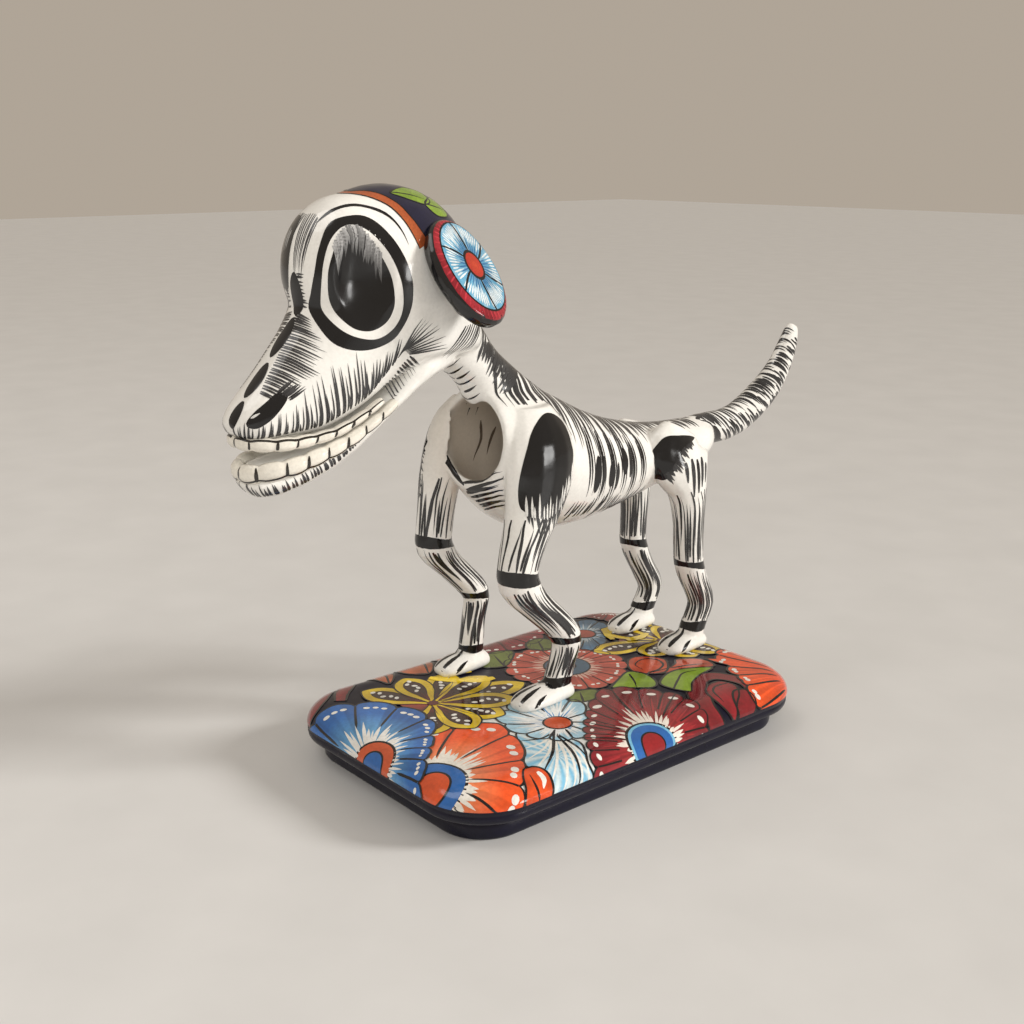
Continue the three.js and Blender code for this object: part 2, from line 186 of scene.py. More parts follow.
def joined(names, grow):
    """The points and faces of several CAD nodes, and for each face its node's index in names."""
    points, faces, owners = [], [], []
    for index, name in enumerate(names):
        shell = bare_copy(name, grow)
        first = len(points)
        points += [v.co.copy() for v in shell.verts]
        faces += [[first + v.index for v in f.verts] for f in shell.faces]
        owners += [index] * len(shell.faces)
        shell.free()
    return points, faces, owners


def mesh_object(name, points, faces):
    mesh = bpy.data.meshes.new(name)
    mesh.from_pydata(points, [], faces)
    mesh.update()
    made = bpy.data.objects.new(name, mesh)
    bpy.context.scene.collection.objects.link(made)
    return made


def applied(obj):
    """Bakes an object's modifiers into its mesh."""
    graph = bpy.context.evaluated_depsgraph_get()
    final = bpy.data.meshes.new_from_object(obj.evaluated_get(graph))
    obj.modifiers.clear()
    obj.data = final
    return obj


def remeshed(obj, voxel, smooth_steps):
    remesh = obj.modifiers.new("Remesh", "REMESH")
    remesh.mode = "VOXEL"
    remesh.voxel_size = voxel * MM
    smooth = obj.modifiers.new("Smooth", "SMOOTH")
    smooth.factor = 0.5
    smooth.iterations = smooth_steps
    return applied(obj)


def smoothed_where(obj, weights, steps):
    """Smooths an object by steps rounds, each vertex by its own weight from 0 to 1."""
    group = obj.vertex_groups.new(name="smooth")
    for index, weight in enumerate(weights):
        if weight > 0:
            group.add([index], float(weight), "REPLACE")
    smooth = obj.modifiers.new("Smooth", "SMOOTH")
    smooth.factor = 0.5
    smooth.iterations = steps
    smooth.vertex_group = "smooth"
    applied(obj)
    obj.vertex_groups.clear()
    return obj


def finished(obj, made, slot, *nodes):
    """Gives a piece its material, its smooth shading and its place on the frame."""
    obj.data.materials.clear()
    obj.data.materials.append(made)
    for face in obj.data.polygons:
        face.use_smooth = True
    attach(obj, "root")
    if nodes:
        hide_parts(*nodes)
    return obj


def as_array(items, key):
    """One vector of each item of a mesh, as an array."""
    values = np.empty(len(items) * 3)
    items.foreach_get(key, values)
    return values.reshape(-1, 3)


def set_paint(mesh, colours):
    layer = mesh.attributes.get("paint") or mesh.attributes.new("paint", "FLOAT_COLOR", "POINT")
    full = np.ones((len(mesh.vertices), 4))
    full[:, :3] = colours
    layer.data.foreach_set("color", full.ravel())


class Surface:
    """A painted surface: finds the nearest point and the smooth normal there."""

    def __init__(self, meshes):
        self.points, self.normals, self.faces = [], [], []
        for mesh in meshes:
            first = len(self.points)
            self.points += [v.co.copy() for v in mesh.vertices]
            self.normals += [n.vector.copy() for n in mesh.vertex_normals]
            self.faces += [[first + v for v in f.vertices] for f in mesh.polygons]
        self.tree = BVHTree.FromPolygons(self.points, self.faces)

    def normal(self, index, place):
        corners = self.faces[index]
        weights = poly_3d_calc([self.points[c] for c in corners], place)
        total = Vector((0, 0, 0))
        for corner, weight in zip(corners, weights):
            total += self.normals[corner] * weight
        return total.normalized()

    def nearest(self, place):
        found, _, index, _ = self.tree.find_nearest(place)
        return found, self.normal(index, found)

    def cast(self, start, direction):
        found, _, index, _ = self.tree.ray_cast(start, direction)
        return None if found is None else (found, self.normal(index, found))


# ---------------------------------------------------------------- the dog's skin

SKIN_VOXEL = 0.9
SKIN_GROW = 0.3
SKIN_STEPS = 12  # rounds of smoothing over the whole skin
ROUND_STEPS = 40  # and further rounds on the body and head
FINE_GROW = 0.15
JOINED_NODES = BODY_NODES + LEG_NODES


def nearest_nodes(points):
    """For each point, the index in JOINED_NODES of the CAD node nearest to it."""
    corners, faces, owners = joined(JOINED_NODES, 0)
    tree = BVHTree.FromPolygons(corners, faces)
    return [owners[tree.find_nearest(p)[2]] for p in points]


def skin():
    """One smooth skin over the whole dog, as the slip joins its pieces, and each point's CAD node."""
    points, faces, _ = joined(JOINED_NODES, SKIN_GROW)
    whole = mesh_object("skin", points, faces)
    remeshed(whole, SKIN_VOXEL, SKIN_STEPS)
    owners = np.array(nearest_nodes([v.co for v in whole.data.vertices]))
    is_round = np.isin(owners, [JOINED_NODES.index(n) for n in BODY_NODES])
    smoothed_where(whole, is_round * 1.0, ROUND_STEPS)
    return whole, owners


def cut_up(whole, owners):
    """Splits the skin into one piece for each CAD node, which keep the whole skin's normals."""
    points = as_array(whole.data.vertices, "co")
    normals = as_array(whole.data.vertex_normals, "vector")
    faces = [list(f.vertices) for f in whole.data.polygons]
    face_owner = [int(owners[f[0]]) for f in faces]
    pieces = {}
    for index, name in enumerate(JOINED_NODES):
        mine = [f for f, o in zip(faces, face_owner) if o == index]
        used = sorted({v for f in mine for v in f})
        place = {v: i for i, v in enumerate(used)}
        obj = mesh_object("skin_" + name, points[used].tolist(), [[place[v] for v in f] for f in mine])
        finished(obj, WHITE_GLAZE, "white_glaze", name)
        obj.data.normals_split_custom_set_from_vertices(normals[used].tolist())
        pieces[name] = obj
    return pieces


whole_skin, skin_owners = skin()
skin_pieces = cut_up(whole_skin, skin_owners)
bpy.data.objects.remove(whole_skin)

for skin_piece in skin_pieces.values():
    set_paint(skin_piece.data, WHITE)


def skin_surface(names):
    return Surface([skin_pieces[n].data for n in names])


# ---------------------------------------------------------------- teeth and ears


def fine_piece(name, voxel, steps, made, slot, colour):
    """One CAD node remeshed finely and smoothed, as its own piece."""
    points, faces, _ = joined([name], FINE_GROW)
    obj = mesh_object("fine_" + name, points, faces)
    remeshed(obj, voxel, steps)
    finished(obj, made, slot, name)
    set_paint(obj.data, colour)
    return obj


TEETH = [fine_piece(name, 0.5, 8, TOOTH_GLAZE, "tooth_glaze", TOOTH)
         for name in ("upper_teeth", "lower_teeth")]
EARS = {side: fine_piece(name, 0.7, 14, EAR_GLAZE, "ear_glaze", BLACK)
        for side, name in ((1, "ear_left"), (-1, "ear_right"))}
TEETH_SURFACE = Surface([obj.data for obj in TEETH])
EAR_SURFACES = {side: Surface([obj.data]) for side, obj in EARS.items()}

# ---------------------------------------------------------------- the moulded base

slab_low, slab_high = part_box("base_slab")
HALF_X = (slab_high.x - slab_low.x) / 2 / MM
HALF_Y = (slab_high.y - slab_low.y) / 2 / MM
CORNER = 34  # the radius of the base's corners, seen from above
TOP = (slab_high.z - ORIGIN.z) / MM
LIP_LOW = (slab_low.z - ORIGIN.z) / MM
LIP_HIGH = 17
DOME_RUN = 17  # how far in from the lip the dome becomes level
DOME_RISE = TOP - LIP_HIGH
DOME_STEPS = 14
HOLLOW_STEPS = 5
WALL = 7
FOOT_INSET = 8.5
FOOT_WALL = 10
CORNER_STEPS = 16
EDGE_STEPS = 24
EDGE_MARGIN = 0.2  # how far above the lip the paint ends
WALK_STEPS = 200
SHARPEST = 4  # the smallest radius of a ring's corners

# How far the dome runs outwards and how high it stands, against the distance walked along it.
dome_turn = np.linspace(math.pi / 2, 0, WALK_STEPS)
DOME_OUT = DOME_RUN * np.cos(dome_turn)
DOME_HIGH = LIP_HIGH + DOME_RISE * np.sin(dome_turn)
DOME_WALK = np.concatenate([[0], np.cumsum(np.hypot(np.diff(DOME_OUT), np.diff(DOME_HIGH)))])
FULL_WALK = DOME_WALK[-1]


def ring(inset, z):
    """A level ring round the base, inset millimetres in from its lip, as places."""
    radius = max(CORNER - inset, SHARPEST)
    reach_x, reach_y = HALF_X - inset - radius, HALF_Y - inset - radius
    places = []
    for corner, (sx, sy) in enumerate([(1, 1), (-1, 1), (-1, -1), (1, -1)]):
        turns = [math.pi / 2 * (corner + i / CORNER_STEPS) for i in range(CORNER_STEPS + 1)]
        arc = [(sx * reach_x + radius * math.cos(t), sy * reach_y + radius * math.sin(t)) for t in turns]
        places += arc
        nx, ny = [(-1, 1), (-1, -1), (1, -1), (1, 1)][corner]
        ahead = (nx * reach_x + radius * math.cos(turns[-1]), ny * reach_y + radius * math.sin(turns[-1]))
        for i in range(1, EDGE_STEPS):
            share = i / EDGE_STEPS
            places.append(tuple(a + (b - a) * share for a, b in zip(arc[-1], ahead)))
    return [at(x, y, z) for x, y in places]


def rings_mesh(name, rings, centres=()):
    """A skin over rings with the same number of points; a centre closes each end, or the rings close up."""
    sides = len(rings[0])
    points = [p for r in rings for p in r]
    faces = []
    closed = not centres
    for r in range(len(rings) - (0 if closed else 1)):
        low, high = r * sides, (r + 1) % len(rings) * sides
        for k in range(sides):
            n = (k + 1) % sides
            faces.append([low + k, low + n, high + n, high + k])
    if centres:
        points += centres
        last = (len(rings) - 1) * sides
        for k in range(sides):
            n = (k + 1) % sides
            faces.append([len(points) - 2, n, k])
            faces.append([last + k, last + n, len(points) - 1])
    return mesh_object(name, points, faces)


def dome_rings(steps, shell):
    """Rings up the dome, shell millimetres inside its surface."""
    turns = [math.pi / 2 * i / steps for i in range(steps + 1)]
    return [ring(shell + DOME_RUN * (1 - math.cos(t)),
                 LIP_HIGH - shell + DOME_RISE * math.sin(t)) for t in turns]


# Sections as (inset from the lip's edge, height): a rounded lip with a fine groove under its upper edge,
# and a foot with rounded toes.
LIP_SECTION = [(2.6, LIP_LOW), (1.6, LIP_LOW + 0.25), (0.8, LIP_LOW + 0.8), (0.25, LIP_LOW + 1.8),
               (0, LIP_LOW + 3), (0, LIP_HIGH - 3.4), (0.35, LIP_HIGH - 2.9), (0.4, LIP_HIGH - 2.3),
               (0, LIP_HIGH - 1.8)]
FOOT_INNER = FOOT_INSET + FOOT_WALL
FOOT_TOP = LIP_LOW - 0.3
FOOT_SECTION = [(FOOT_INSET + 1.7, TABLE), (FOOT_INSET + 0.9, TABLE + 0.4), (FOOT_INSET + 0.4, TABLE + 1.4),
                (FOOT_INSET + 0.15, TABLE + 3.5), (FOOT_INSET, FOOT_TOP), (FOOT_INNER, FOOT_TOP),
                (FOOT_INNER - 0.4, TABLE + 1.4), (FOOT_INNER - 0.9, TABLE + 0.4), (FOOT_INNER - 1.7, TABLE)]


def cobalt_piece(name, rings, centres, cad_node):
    obj = rings_mesh(name, rings, centres)
    finished(obj, COBALT_GLAZE, "cobalt_glaze", cad_node)
    set_paint(obj.data, COBALT)


def base_slab():
    outside = [ring(inset, z) for inset, z in LIP_SECTION] + dome_rings(DOME_STEPS, 0)
    inside = [ring(WALL, LIP_LOW), *dome_rings(HOLLOW_STEPS, WALL)][::-1]
    cobalt_piece("base_slab_glazed", inside + outside, [at(0, 0, TOP - WALL), at(0, 0, TOP)], "base_slab")


def base_foot():
    cobalt_piece("base_foot_glazed", [ring(inset, z) for inset, z in FOOT_SECTION], (), "base_foot")


base_slab()
base_foot()


def on_base(place):
    """The point and normal on the painted top at a place on its unrolled plan, in millimetres."""
    u, v = place.x, place.y
    flat_x, flat_y, round_off = HALF_X - CORNER, HALF_Y - CORNER, CORNER - DOME_RUN
    over_x, over_y = abs(u) - flat_x, abs(v) - flat_y
    if over_x > 0 and over_y > 0:
        reach = math.hypot(over_x, over_y)
        walk, out = reach - round_off, (over_x / reach, over_y / reach)
    elif over_x > over_y:
        walk, out = over_x - round_off, (1, 0)
    else:
        walk, out = over_y - round_off, (0, 1)
    if walk <= 0:
        return at(u, v, TOP), Vector((0, 0, 1))
    walk_kept = min(walk, FULL_WALK - EDGE_MARGIN)
    run = float(np.interp(walk_kept, DOME_WALK, DOME_OUT))
    high = float(np.interp(walk_kept, DOME_WALK, DOME_HIGH))
    back = walk - run
    x = u - math.copysign(out[0] * back, u)
    y = v - math.copysign(out[1] * back, v)
    side = run / DOME_RUN ** 2
    upward = (high - LIP_HIGH) / DOME_RISE ** 2
    normal = Vector((math.copysign(out[0] * side, u), math.copysign(out[1] * side, v), upward))
    return at(x, y, high), normal.normalized()


def off_base(place):
    """True where a place on the unrolled plan lies beyond the lip."""
    over_x = abs(place.x) - (HALF_X - CORNER)
    over_y = abs(place.y) - (HALF_Y - CORNER)
    if over_x > 0 and over_y > 0:
        walk = math.hypot(over_x, over_y)
    else:
        walk = max(over_x, over_y)
    return walk - (CORNER - DOME_RUN) > FULL_WALK - EDGE_MARGIN


# ---------------------------------------------------------------- brushwork
# Each stroke and patch of paint is a thin sheet that follows the surface just above the glaze.

RANDOM = random.Random(11)
LIFT = 0.07  # how far the lowest paint stands off the surface
LAYER = 0.035  # how much higher each further coat of paint lies
RIDGE = 0.03  # how much higher a stroke is along its middle than at its sides
STEP = 0.0007  # how much each sheet of a coat rises over the one before, so that no two lie in one plane
STEPS = 47  # how many sheets go by before that starts again
CELL = 1.5  # the widest face of a painted patch
SLIVER = 1e-12  # a face with less than this, in square metres, is left out
CURVE_STEP = 0.05
STROKE_PLACES = 4  # the fewest places along a stroke
PATCH_PLACES = 12  # and round a patch
HUB = 0.04  # the innermost ring of a patch, as a share of the way out
WOBBLE = (0.93, 1.07)
SWELL, TAPER = 0.22, 0.62  # the shares of a stroke over which it widens and narrows
DOT_SIDES = 10
OVAL_SIDES = 20
OVAL_WAIST, OVAL_BULGE = 0.72, 0.28  # an oval's width at its ends and what its sides add
LEVEL = 0.9  # how upright the normals of level ground are, at least
HATCH_SPOTS = 100
HATCH_JITTER = 0.25
HATCH_WIDTHS = (0.7, 1.25)
GREY = (0.16, 0.16, 0.165)


def mixed(a, b, share):
    return tuple(p + (q - p) * share for p, q in zip(a, b))


THIN_INK = mixed(BLACK, GREY, 0.3)


def varied(colour, amount):
    factor = 1 + RANDOM.uniform(-amount, amount)
    return tuple(c * factor for c in colour)


def ink(palest=0.25):
    return mixed(BLACK, GREY, RANDOM.uniform(0, palest))


def flat(points):
    return [(u, v, 0) for u, v in points]


def even_turns(count):
    return [2 * math.pi * i / count for i in range(count)]


def mirrored(points, side):
    """Places on the dog's left side, or with side -1 the same on its right."""
    return [(MID + side * (x - MID), y, z) for x, y, z in points]


def curve(points, count, closed=False):
    """count points along a smooth curve through the given ones, evenly spaced."""
    known = [np.array(p, float) for p in points]
    if closed:
        ends = [known[-1], *known, known[0], known[1]]
    else:
        ends = [2 * known[0] - known[1], *known, 2 * known[-1] - known[-2]]
    fine = []
    for a, b, c, d in zip(ends, ends[1:], ends[2:], ends[3:]):
        for t in np.arange(0, 1, CURVE_STEP):
            fine.append(0.5 * (2 * b + (c - a) * t + (2 * a - 5 * b + 4 * c - d) * t ** 2
                               + (3 * b - a - 3 * c + d) * t ** 3))
    fine.append(known[0] if closed else known[-1])
    fine = np.array(fine)
    walk = np.concatenate([[0], np.cumsum(np.linalg.norm(np.diff(fine, axis=0), axis=1))])
    stops = np.linspace(0, walk[-1], count + 1)[:-1] if closed else np.linspace(0, walk[-1], count)
    return np.stack([np.interp(stops, walk, column) for column in fine.T], axis=1)


def length(points):
    return float(np.linalg.norm(np.diff(np.array(points, float), axis=0), axis=1).sum())


def bell(share, blunt, tip):
    """A stroke's width along it, from blunt at its start to tip at its end, with 1 between."""
    rise = blunt + (1 - blunt) * math.sin(math.pi / 2 * min(share / SWELL, 1))
    fall = tip + (1 - tip) * math.sin(math.pi / 2 * min((1 - share) / TAPER, 1))
    return rise * fall


class Body:
    """Paints on a sculpted surface; its places are the design's millimetres."""

    def __init__(self, surface):
        self.surface = surface

    def anchor(self, place):
        found, normal = self.surface.nearest(at(*place))
        return (found - ORIGIN) / MM, normal

    def land(self, place):
        return self.surface.nearest(at(*place))

    def outside(self, place):
        return False


class Side(Body):
    """Paints on one side of a surface; its places are (y, z) as seen square on from that side."""

    def __init__(self, surface, side, far, near):
        super().__init__(surface)
        self.side = side
        self.far = far  # where the view starts, from the dog's middle plane
        self.near = near  # where the nearest surface is looked for when nothing is in view

    def land(self, place):
        start = at(MID + self.side * self.far, place[0], place[1])
        hit = self.surface.cast(start, Vector((-self.side, 0, 0)))
        return hit if hit else self.surface.nearest(at(MID + self.side * self.near, place[0], place[1]))

    def anchor(self, place):
        return Vector(place), Vector((0, 0, 1))


class Plan:
    """Paints on the base's top; its places are the unrolled plan's millimetres."""

    def anchor(self, place):
        return Vector(place), Vector((0, 0, 1))

    def land(self, place):
        return on_base(place)

    def outside(self, place):
        return off_base(place)


class Brush:
    """Collects strokes and patches of paint as one piece."""

    def __init__(self, canvas):
        self.canvas = canvas
        self.points, self.normals, self.colours, self.faces = [], [], [], []
        self.sheets = 0

    def dab(self, place, lift, colour):
        found, normal = self.canvas.land(Vector(place))
        self.points.append(found + normal * (lift + STEP * (self.sheets % STEPS)) * MM)
        self.normals.append(normal)
        self.colours.append(colour)
        return len(self.points) - 1

    def face(self, corners, places):
        if all(self.canvas.outside(Vector(p)) for p in places):
            return
        a, b, c = (self.points[corners[i]] for i in (0, 1, 2))
        if len(corners) == 4:
            d = self.points[corners[3]]
            across = (c - a).cross(d - b)
        else:
            across = (b - a).cross(c - a)
        if across.length < SLIVER:
            return
        facing = across.dot(self.normals[corners[0]])
        self.faces.append(corners if facing > 0 else corners[::-1])

    def sheet(self, rows, colours, lifts, closed=False):
        """A grid of places; colours and lifts are functions of a row and a column, as shares."""
        self.sheets += 1
        high, wide = len(rows), len(rows[0])
        index = []
        for r, row in enumerate(rows):
            shares = [(r / (high - 1), c / (wide if closed else wide - 1)) for c in range(wide)]
            index.append([self.dab(p, lifts(*s), colours(*s)) for p, s in zip(row, shares)])
        for r in range(high - 1):
            for c in range(wide if closed else wide - 1):
                n = (c + 1) % wide
                corners = [index[r][c], index[r + 1][c], index[r + 1][n], index[r][n]]
                self.face(corners, [rows[r][c], rows[r + 1][c], rows[r + 1][n], rows[r][n]])

    def stroke(self, points, width, colour, layer=0, blunt=0.5, tip=0.05, end_colour=None):
        """A stroke of a loaded brush through the points, tapering from its start to its end."""
        count = max(STROKE_PLACES, int(length(points) / CELL) + 2)
        path = curve(points, count) if len(points) > 2 else np.linspace(points[0], points[-1], count)
        landed = [self.canvas.anchor(Vector(p)) for p in path]
        rows = []
        for i, (place, normal) in enumerate(landed):
            ahead = landed[min(i + 1, count - 1)][0] - landed[max(i - 1, 0)][0]
            sideways = normal.cross(ahead).normalized()
            half = width / 2 * bell(i / (count - 1), blunt, tip) * RANDOM.uniform(*WOBBLE)
            rows.append([place - sideways * half, place, place + sideways * half])
        last = end_colour or colour
        height = LIFT + LAYER * layer
        self.sheet(rows, lambda s, _: mixed(colour, last, s),
                   lambda _, c: height + (RIDGE if c == 0.5 else 0))

    def patch(self, outline, colour, layer=0, hole=0.0, centre=None, smooth=True):
        """A filled shape round a centre; colour may be a function of how far out and how far round."""
        paint = colour if callable(colour) else lambda out, turn: colour
        around = max(PATCH_PLACES, int(length([*outline, outline[0]]) / CELL))
        edge = curve(outline, around, closed=True) if smooth else np.array(outline, float)
        middle = np.array(centre if centre is not None else edge.mean(axis=0), float)
        reach = float(np.linalg.norm(edge - middle, axis=1).max()) * (1 - hole)
        rings = max(2, int(reach / CELL) + 1)
        shares = [hole + (1 - hole) * i / rings for i in range(rings + 1)]
        shares[0] = max(hole, HUB)
        rows = [[Vector(middle + (p - middle) * s) for p in edge] for s in shares]
        height = LIFT + LAYER * layer
        self.sheet(rows, paint, lambda *_: height, closed=True)
        if hole == 0:
            self.fill_hub(middle, rows, height, paint(0, 0))

    def fill_hub(self, middle, rows, height, colour):
        """Closes the middle of the patch whose rows have just been laid."""
        first_row = rows[0]
        around = len(first_row)
        hub = self.dab(middle, height, colour)
        start = hub - len(rows) * around
        for k in range(around):
            n = (k + 1) % around
            self.face([hub, start + k, start + n], [middle, first_row[k], first_row[n]])

    def outline(self, points, width, colour, layer):
        self.stroke([*points, points[0], points[1]], width, colour, layer, blunt=0.8, tip=0.6)

    def band(self, first, second, colour, layer=0):
        """The strip between two edges."""
        count = max(STROKE_PLACES, int(max(length(first), length(second)) / CELL) + 1)
        one, two = curve(first, count), curve(second, count)
        wide = max(2, int(np.linalg.norm(one - two, axis=1).max() / CELL) + 2)
        paint = colour if callable(colour) else lambda along, across: colour
        rows = [[Vector(a + (b - a) * s) for s in np.linspace(0, 1, wide)] for a, b in zip(one, two)]
        self.sheet(rows, paint, lambda *_: LIFT + LAYER * layer)

    def dot(self, place, radius, colour, layer=0, stretch=1.0, turn=0.0):
        """A touch of the brush's tip, stretched along turn."""
        found, normal = self.canvas.anchor(Vector(place))
        side = normal.orthogonal().normalized()
        if abs(normal.z) > LEVEL:
            side = Vector((math.cos(turn), math.sin(turn), 0))
        other = normal.cross(side).normalized()
        edge = [found + side * radius * stretch * math.cos(t) + other * radius * math.sin(t)
                for t in even_turns(DOT_SIDES)]
        self.patch(edge, colour, layer, smooth=False)

    def oval(self, middle, half_long, half_wide, along, colour, layer):
        """An elongated spot of paint, pointed a little at both ends."""
        found, normal = self.canvas.anchor(Vector(middle))
        run = (Vector(along) - normal * normal.dot(Vector(along))).normalized()
        side = normal.cross(run)
        edge = []
        for turn in even_turns(OVAL_SIDES):
            narrow = half_wide * (OVAL_WAIST + OVAL_BULGE * abs(math.sin(turn)))
            edge.append(found + run * half_long * math.cos(turn) + side * narrow * math.sin(turn))
        self.patch([tuple(p) for p in edge], colour, layer)

    def hatch(self, starts, ends, count, width, colour=None, spread=(0.75, 1.1), layer=0, bow=0.0,
              blunt=0.5, tip=0.05):
        """Strokes side by side, from points along one curve towards points along another."""
        one, two = curve(starts, HATCH_SPOTS + 1), curve(ends, HATCH_SPOTS + 1)
        for i in range(count):
            share = (i + 0.5 + RANDOM.uniform(-HATCH_JITTER, HATCH_JITTER)) / count
            spot = int(min(max(share, 0), 1) * HATCH_SPOTS)
            a = one[spot]
            b = a + (two[spot] - a) * RANDOM.uniform(*spread)
            ahead = one[min(spot + 1, HATCH_SPOTS)] - one[max(spot - 1, 0)]
            shade = colour or ink(0.2)
            self.stroke([a, (a + b) / 2 + ahead * bow, b], width * RANDOM.uniform(*HATCH_WIDTHS), shade,
                        layer, blunt, tip, end_colour=None if colour else mixed(shade, GREY, 0.4))

    def piece(self, name, made, slot):
        obj = mesh_object(name, self.points, self.faces)
        finished(obj, made, slot)
        obj.data.normals_split_custom_set_from_vertices([tuple(n) for n in self.normals])
        set_paint(obj.data, self.colours)


# ---------------------------------------------------------------- paint on the head

# the grey of the painted highlight strokes inside the far eye's black bowl
SHINE_GREY = (0.42, 0.42, 0.41)
ORANGE_BROWN = (0.50, 0.12, 0.035)
LEAF_GREEN = (0.27, 0.42, 0.03)
CAP_BLUE = (0.010, 0.010, 0.035)
STRIPE_DARK = (0.36, 0.07, 0.02)
LEAF_DARK = (0.08, 0.16, 0.01)
HATCH_GREY = (0.06, 0.06, 0.065)
GLINT_END = (0.05, 0.05, 0.05)

EYE = (-126, 260)  # the middle of an eye bowl, seen from the side as (y, z)
EYE_BOWL = [(-126, 283.5), (-121, 277.8), (-115.5, 270.5), (-112.4, 262.5), (-111.6, 254), (-112, 246.5),
            (-115, 240.5), (-122, 237.2), (-129.6, 238.3), (-135.2, 243.2), (-138.4, 249.2),
            (-140.2, 255.4), (-140.4, 264), (-138.4, 271.7), (-135.4, 278), (-131, 282.6)]
EYE_RING_INSIDE = [(-127, 284.6), (-120.4, 281), (-113.7, 273.2), (-110, 264.5), (-107.7, 254.2),
                   (-107.7, 244.2), (-111, 237.4), (-118.6, 233.4), (-126.7, 233.9), (-134.4, 237.2),
                   (-139.5, 243), (-141.6, 250), (-142.4, 259.3), (-141.4, 269), (-138, 277.8),
                   (-132.6, 283.4)]
EYE_RING_OUTSIDE = [(-125.1, 288.7), (-117.7, 286.9), (-111, 279.9), (-105.2, 268.2), (-102.4, 256),
                    (-103.6, 243.6), (-109.2, 233.6), (-119.6, 229), (-130.8, 228.8), (-139.8, 232.6),
                    (-143.8, 240.4), (-144.4, 249.1), (-144.6, 261.1), (-142, 274.5), (-135.4, 285.6)]
ARC_OVER_EYE = [(-7.4, -139, 285.4), (-5, -131, 291), (-1.7, -119.5, 292.5), (3.6, -110, 289),
                (8.8, -105, 282.5), (12, -102.6, 275)]
STRIPE_FRONT = [(-17, -120, 297.4), (-15, -119.6, 297), (-5, -112.7, 296), (2.6, -106, 292),
                (8.3, -101, 284), (13, -97, 273)]
STRIPE_BACK = [(-17, -116, 298.8), (-14, -115.6, 298.4), (-7, -108.5, 298), (1, -101.4, 293.5),
               (7, -97, 287), (12.5, -91, 276)]
CAP_LEAVES = [
    [(-4, -101, 298.4), (-10, -91, 297.5), (-10, -80, 296.5), (-2, -79, 294), (1, -85.7, 292.4),
     (-0.5, -95, 295.5)],
    [(0.6, -84.6, 292.3), (-5, -79, 294.5), (-9, -74, 294.5), (-3, -69, 289), (1, -71.4, 286.5),
     (4, -79.6, 287.4)],
]
CAP_RIDGE = [(MID, -116, 298.8), (MID, -98, 301), (MID, -75, 296), (MID, -56, 275), (MID, -49.5, 250),
             (MID, -49.5, 238.5)]
CAP_LOW = [(12.5, -91, 276), (15, -86, 262), (14.5, -76, 246), (11, -66, 240), (3, -57, 238),
           (-8, -51, 238), (-17, -49.5, 238.5)]
FAR_EYE_EDGE = [(-20, -139, 287), (-18.5, -143, 280), (-18, -146, 272), (-18.5, -147.6, 263),
                (-21, -147.5, 255.5), (-27, -146.5, 255), (-33, -144, 260), (-35, -142, 270),
                (-34, -139, 280), (-28, -137.5, 288)]
FAR_EYE_SHINE = [[(-24, -141, 282), (-24, -145, 272)], [(-27, -140, 281), (-26, -145, 270)],
                 [(-22, -142, 281), (-22.5, -145.6, 273)]]
BRIDGE_RUN = (0, -0.45, -0.9)  # which way the bridge of the nose runs down
BRIDGE_SPOTS = [  # the middle, then half the length and half the width
    [(-14.5, -147, 253), 11, 4.2],
    [(-15.5, -154, 234), 11, 3.8],
    [(-14.5, -169, 216), 10, 3.6],
    [(-13, -182, 202), 8, 3.0],
]
NOSTRIL = [(-0.5, -162, 210), (0.2, -166.8, 204), (-1.5, -172, 199.2), (-4, -177, 196.7), (-7, -180, 198.5),
           (-5.5, -177, 203.5), (-4, -171, 208), (-2.7, -165.5, 212)]
NOSTRIL_HATCH = [(-0.5, -161, 208), (-1.5, -163, 210.5), (-3.4, -166, 212)]
NOSTRIL_HATCH_ENDS = [(3, -153, 213), (1.5, -156, 216), (-1, -160, 218)]
NOSTRIL_SHINE = [(-5.5, -178.3, 201.5), (-3.8, -174.5, 203.5)]

HEAD = skin_surface(["skull", "jaw"])
HEAD_FAR, HEAD_NEAR = 80, 30
EYE_SIDES = 96
EYE_RING_ROWS = 7
GLINTS = 34
GLINTS_FROM, GLINTS_SPAN = 52, 76  # degrees round the eye's middle


def eye_outline(points):
    return polar(curve(flat(points), EYE_SIDES, closed=True), EYE_SIDES)


def paint_eye(side):
    """A black bowl inside a broad black ring, with pale glints hanging from the bowl's upper edge."""
    brush = Brush(Side(HEAD, side, HEAD_FAR, HEAD_NEAR))
    brush.patch(flat(EYE_BOWL), BLACK, 1, centre=(*EYE, 0))
    inner, outer = eye_outline(EYE_RING_INSIDE), eye_outline(EYE_RING_OUTSIDE)
    rows = [[Vector(a + (b - a) * s) for a, b in zip(inner, outer)]
            for s in np.linspace(0, 1, EYE_RING_ROWS)]
    brush.sheet(rows, lambda *_: BLACK, lambda *_: LIFT, closed=True)
    paint_glints(brush, eye_outline(EYE_BOWL))
    brush.piece("paint_eye_" + ("left" if side > 0 else "right"), INK_GLAZE, "white_glaze")


def paint_glints(brush, bowl):
    for i in range(GLINTS):
        turn = math.radians(GLINTS_FROM + GLINTS_SPAN * (i + RANDOM.uniform(-0.4, 0.4)) / (GLINTS - 1))
        rim = bowl[int(turn / (2 * math.pi) * EYE_SIDES) % EYE_SIDES]
        lean = Vector((RANDOM.uniform(-1.5, 2.5), -RANDOM.uniform(6, 15), 0))
        start = Vector(rim) + Vector((0, RANDOM.uniform(0.5, 1.5), 0))
        shade = RANDOM.uniform(0.25, 0.62)
        brush.stroke([start, start + lean * 0.5, start + lean], RANDOM.uniform(0.9, 1.7), (shade,) * 3, 2,
                     blunt=0.9, tip=0.0, end_colour=GLINT_END)


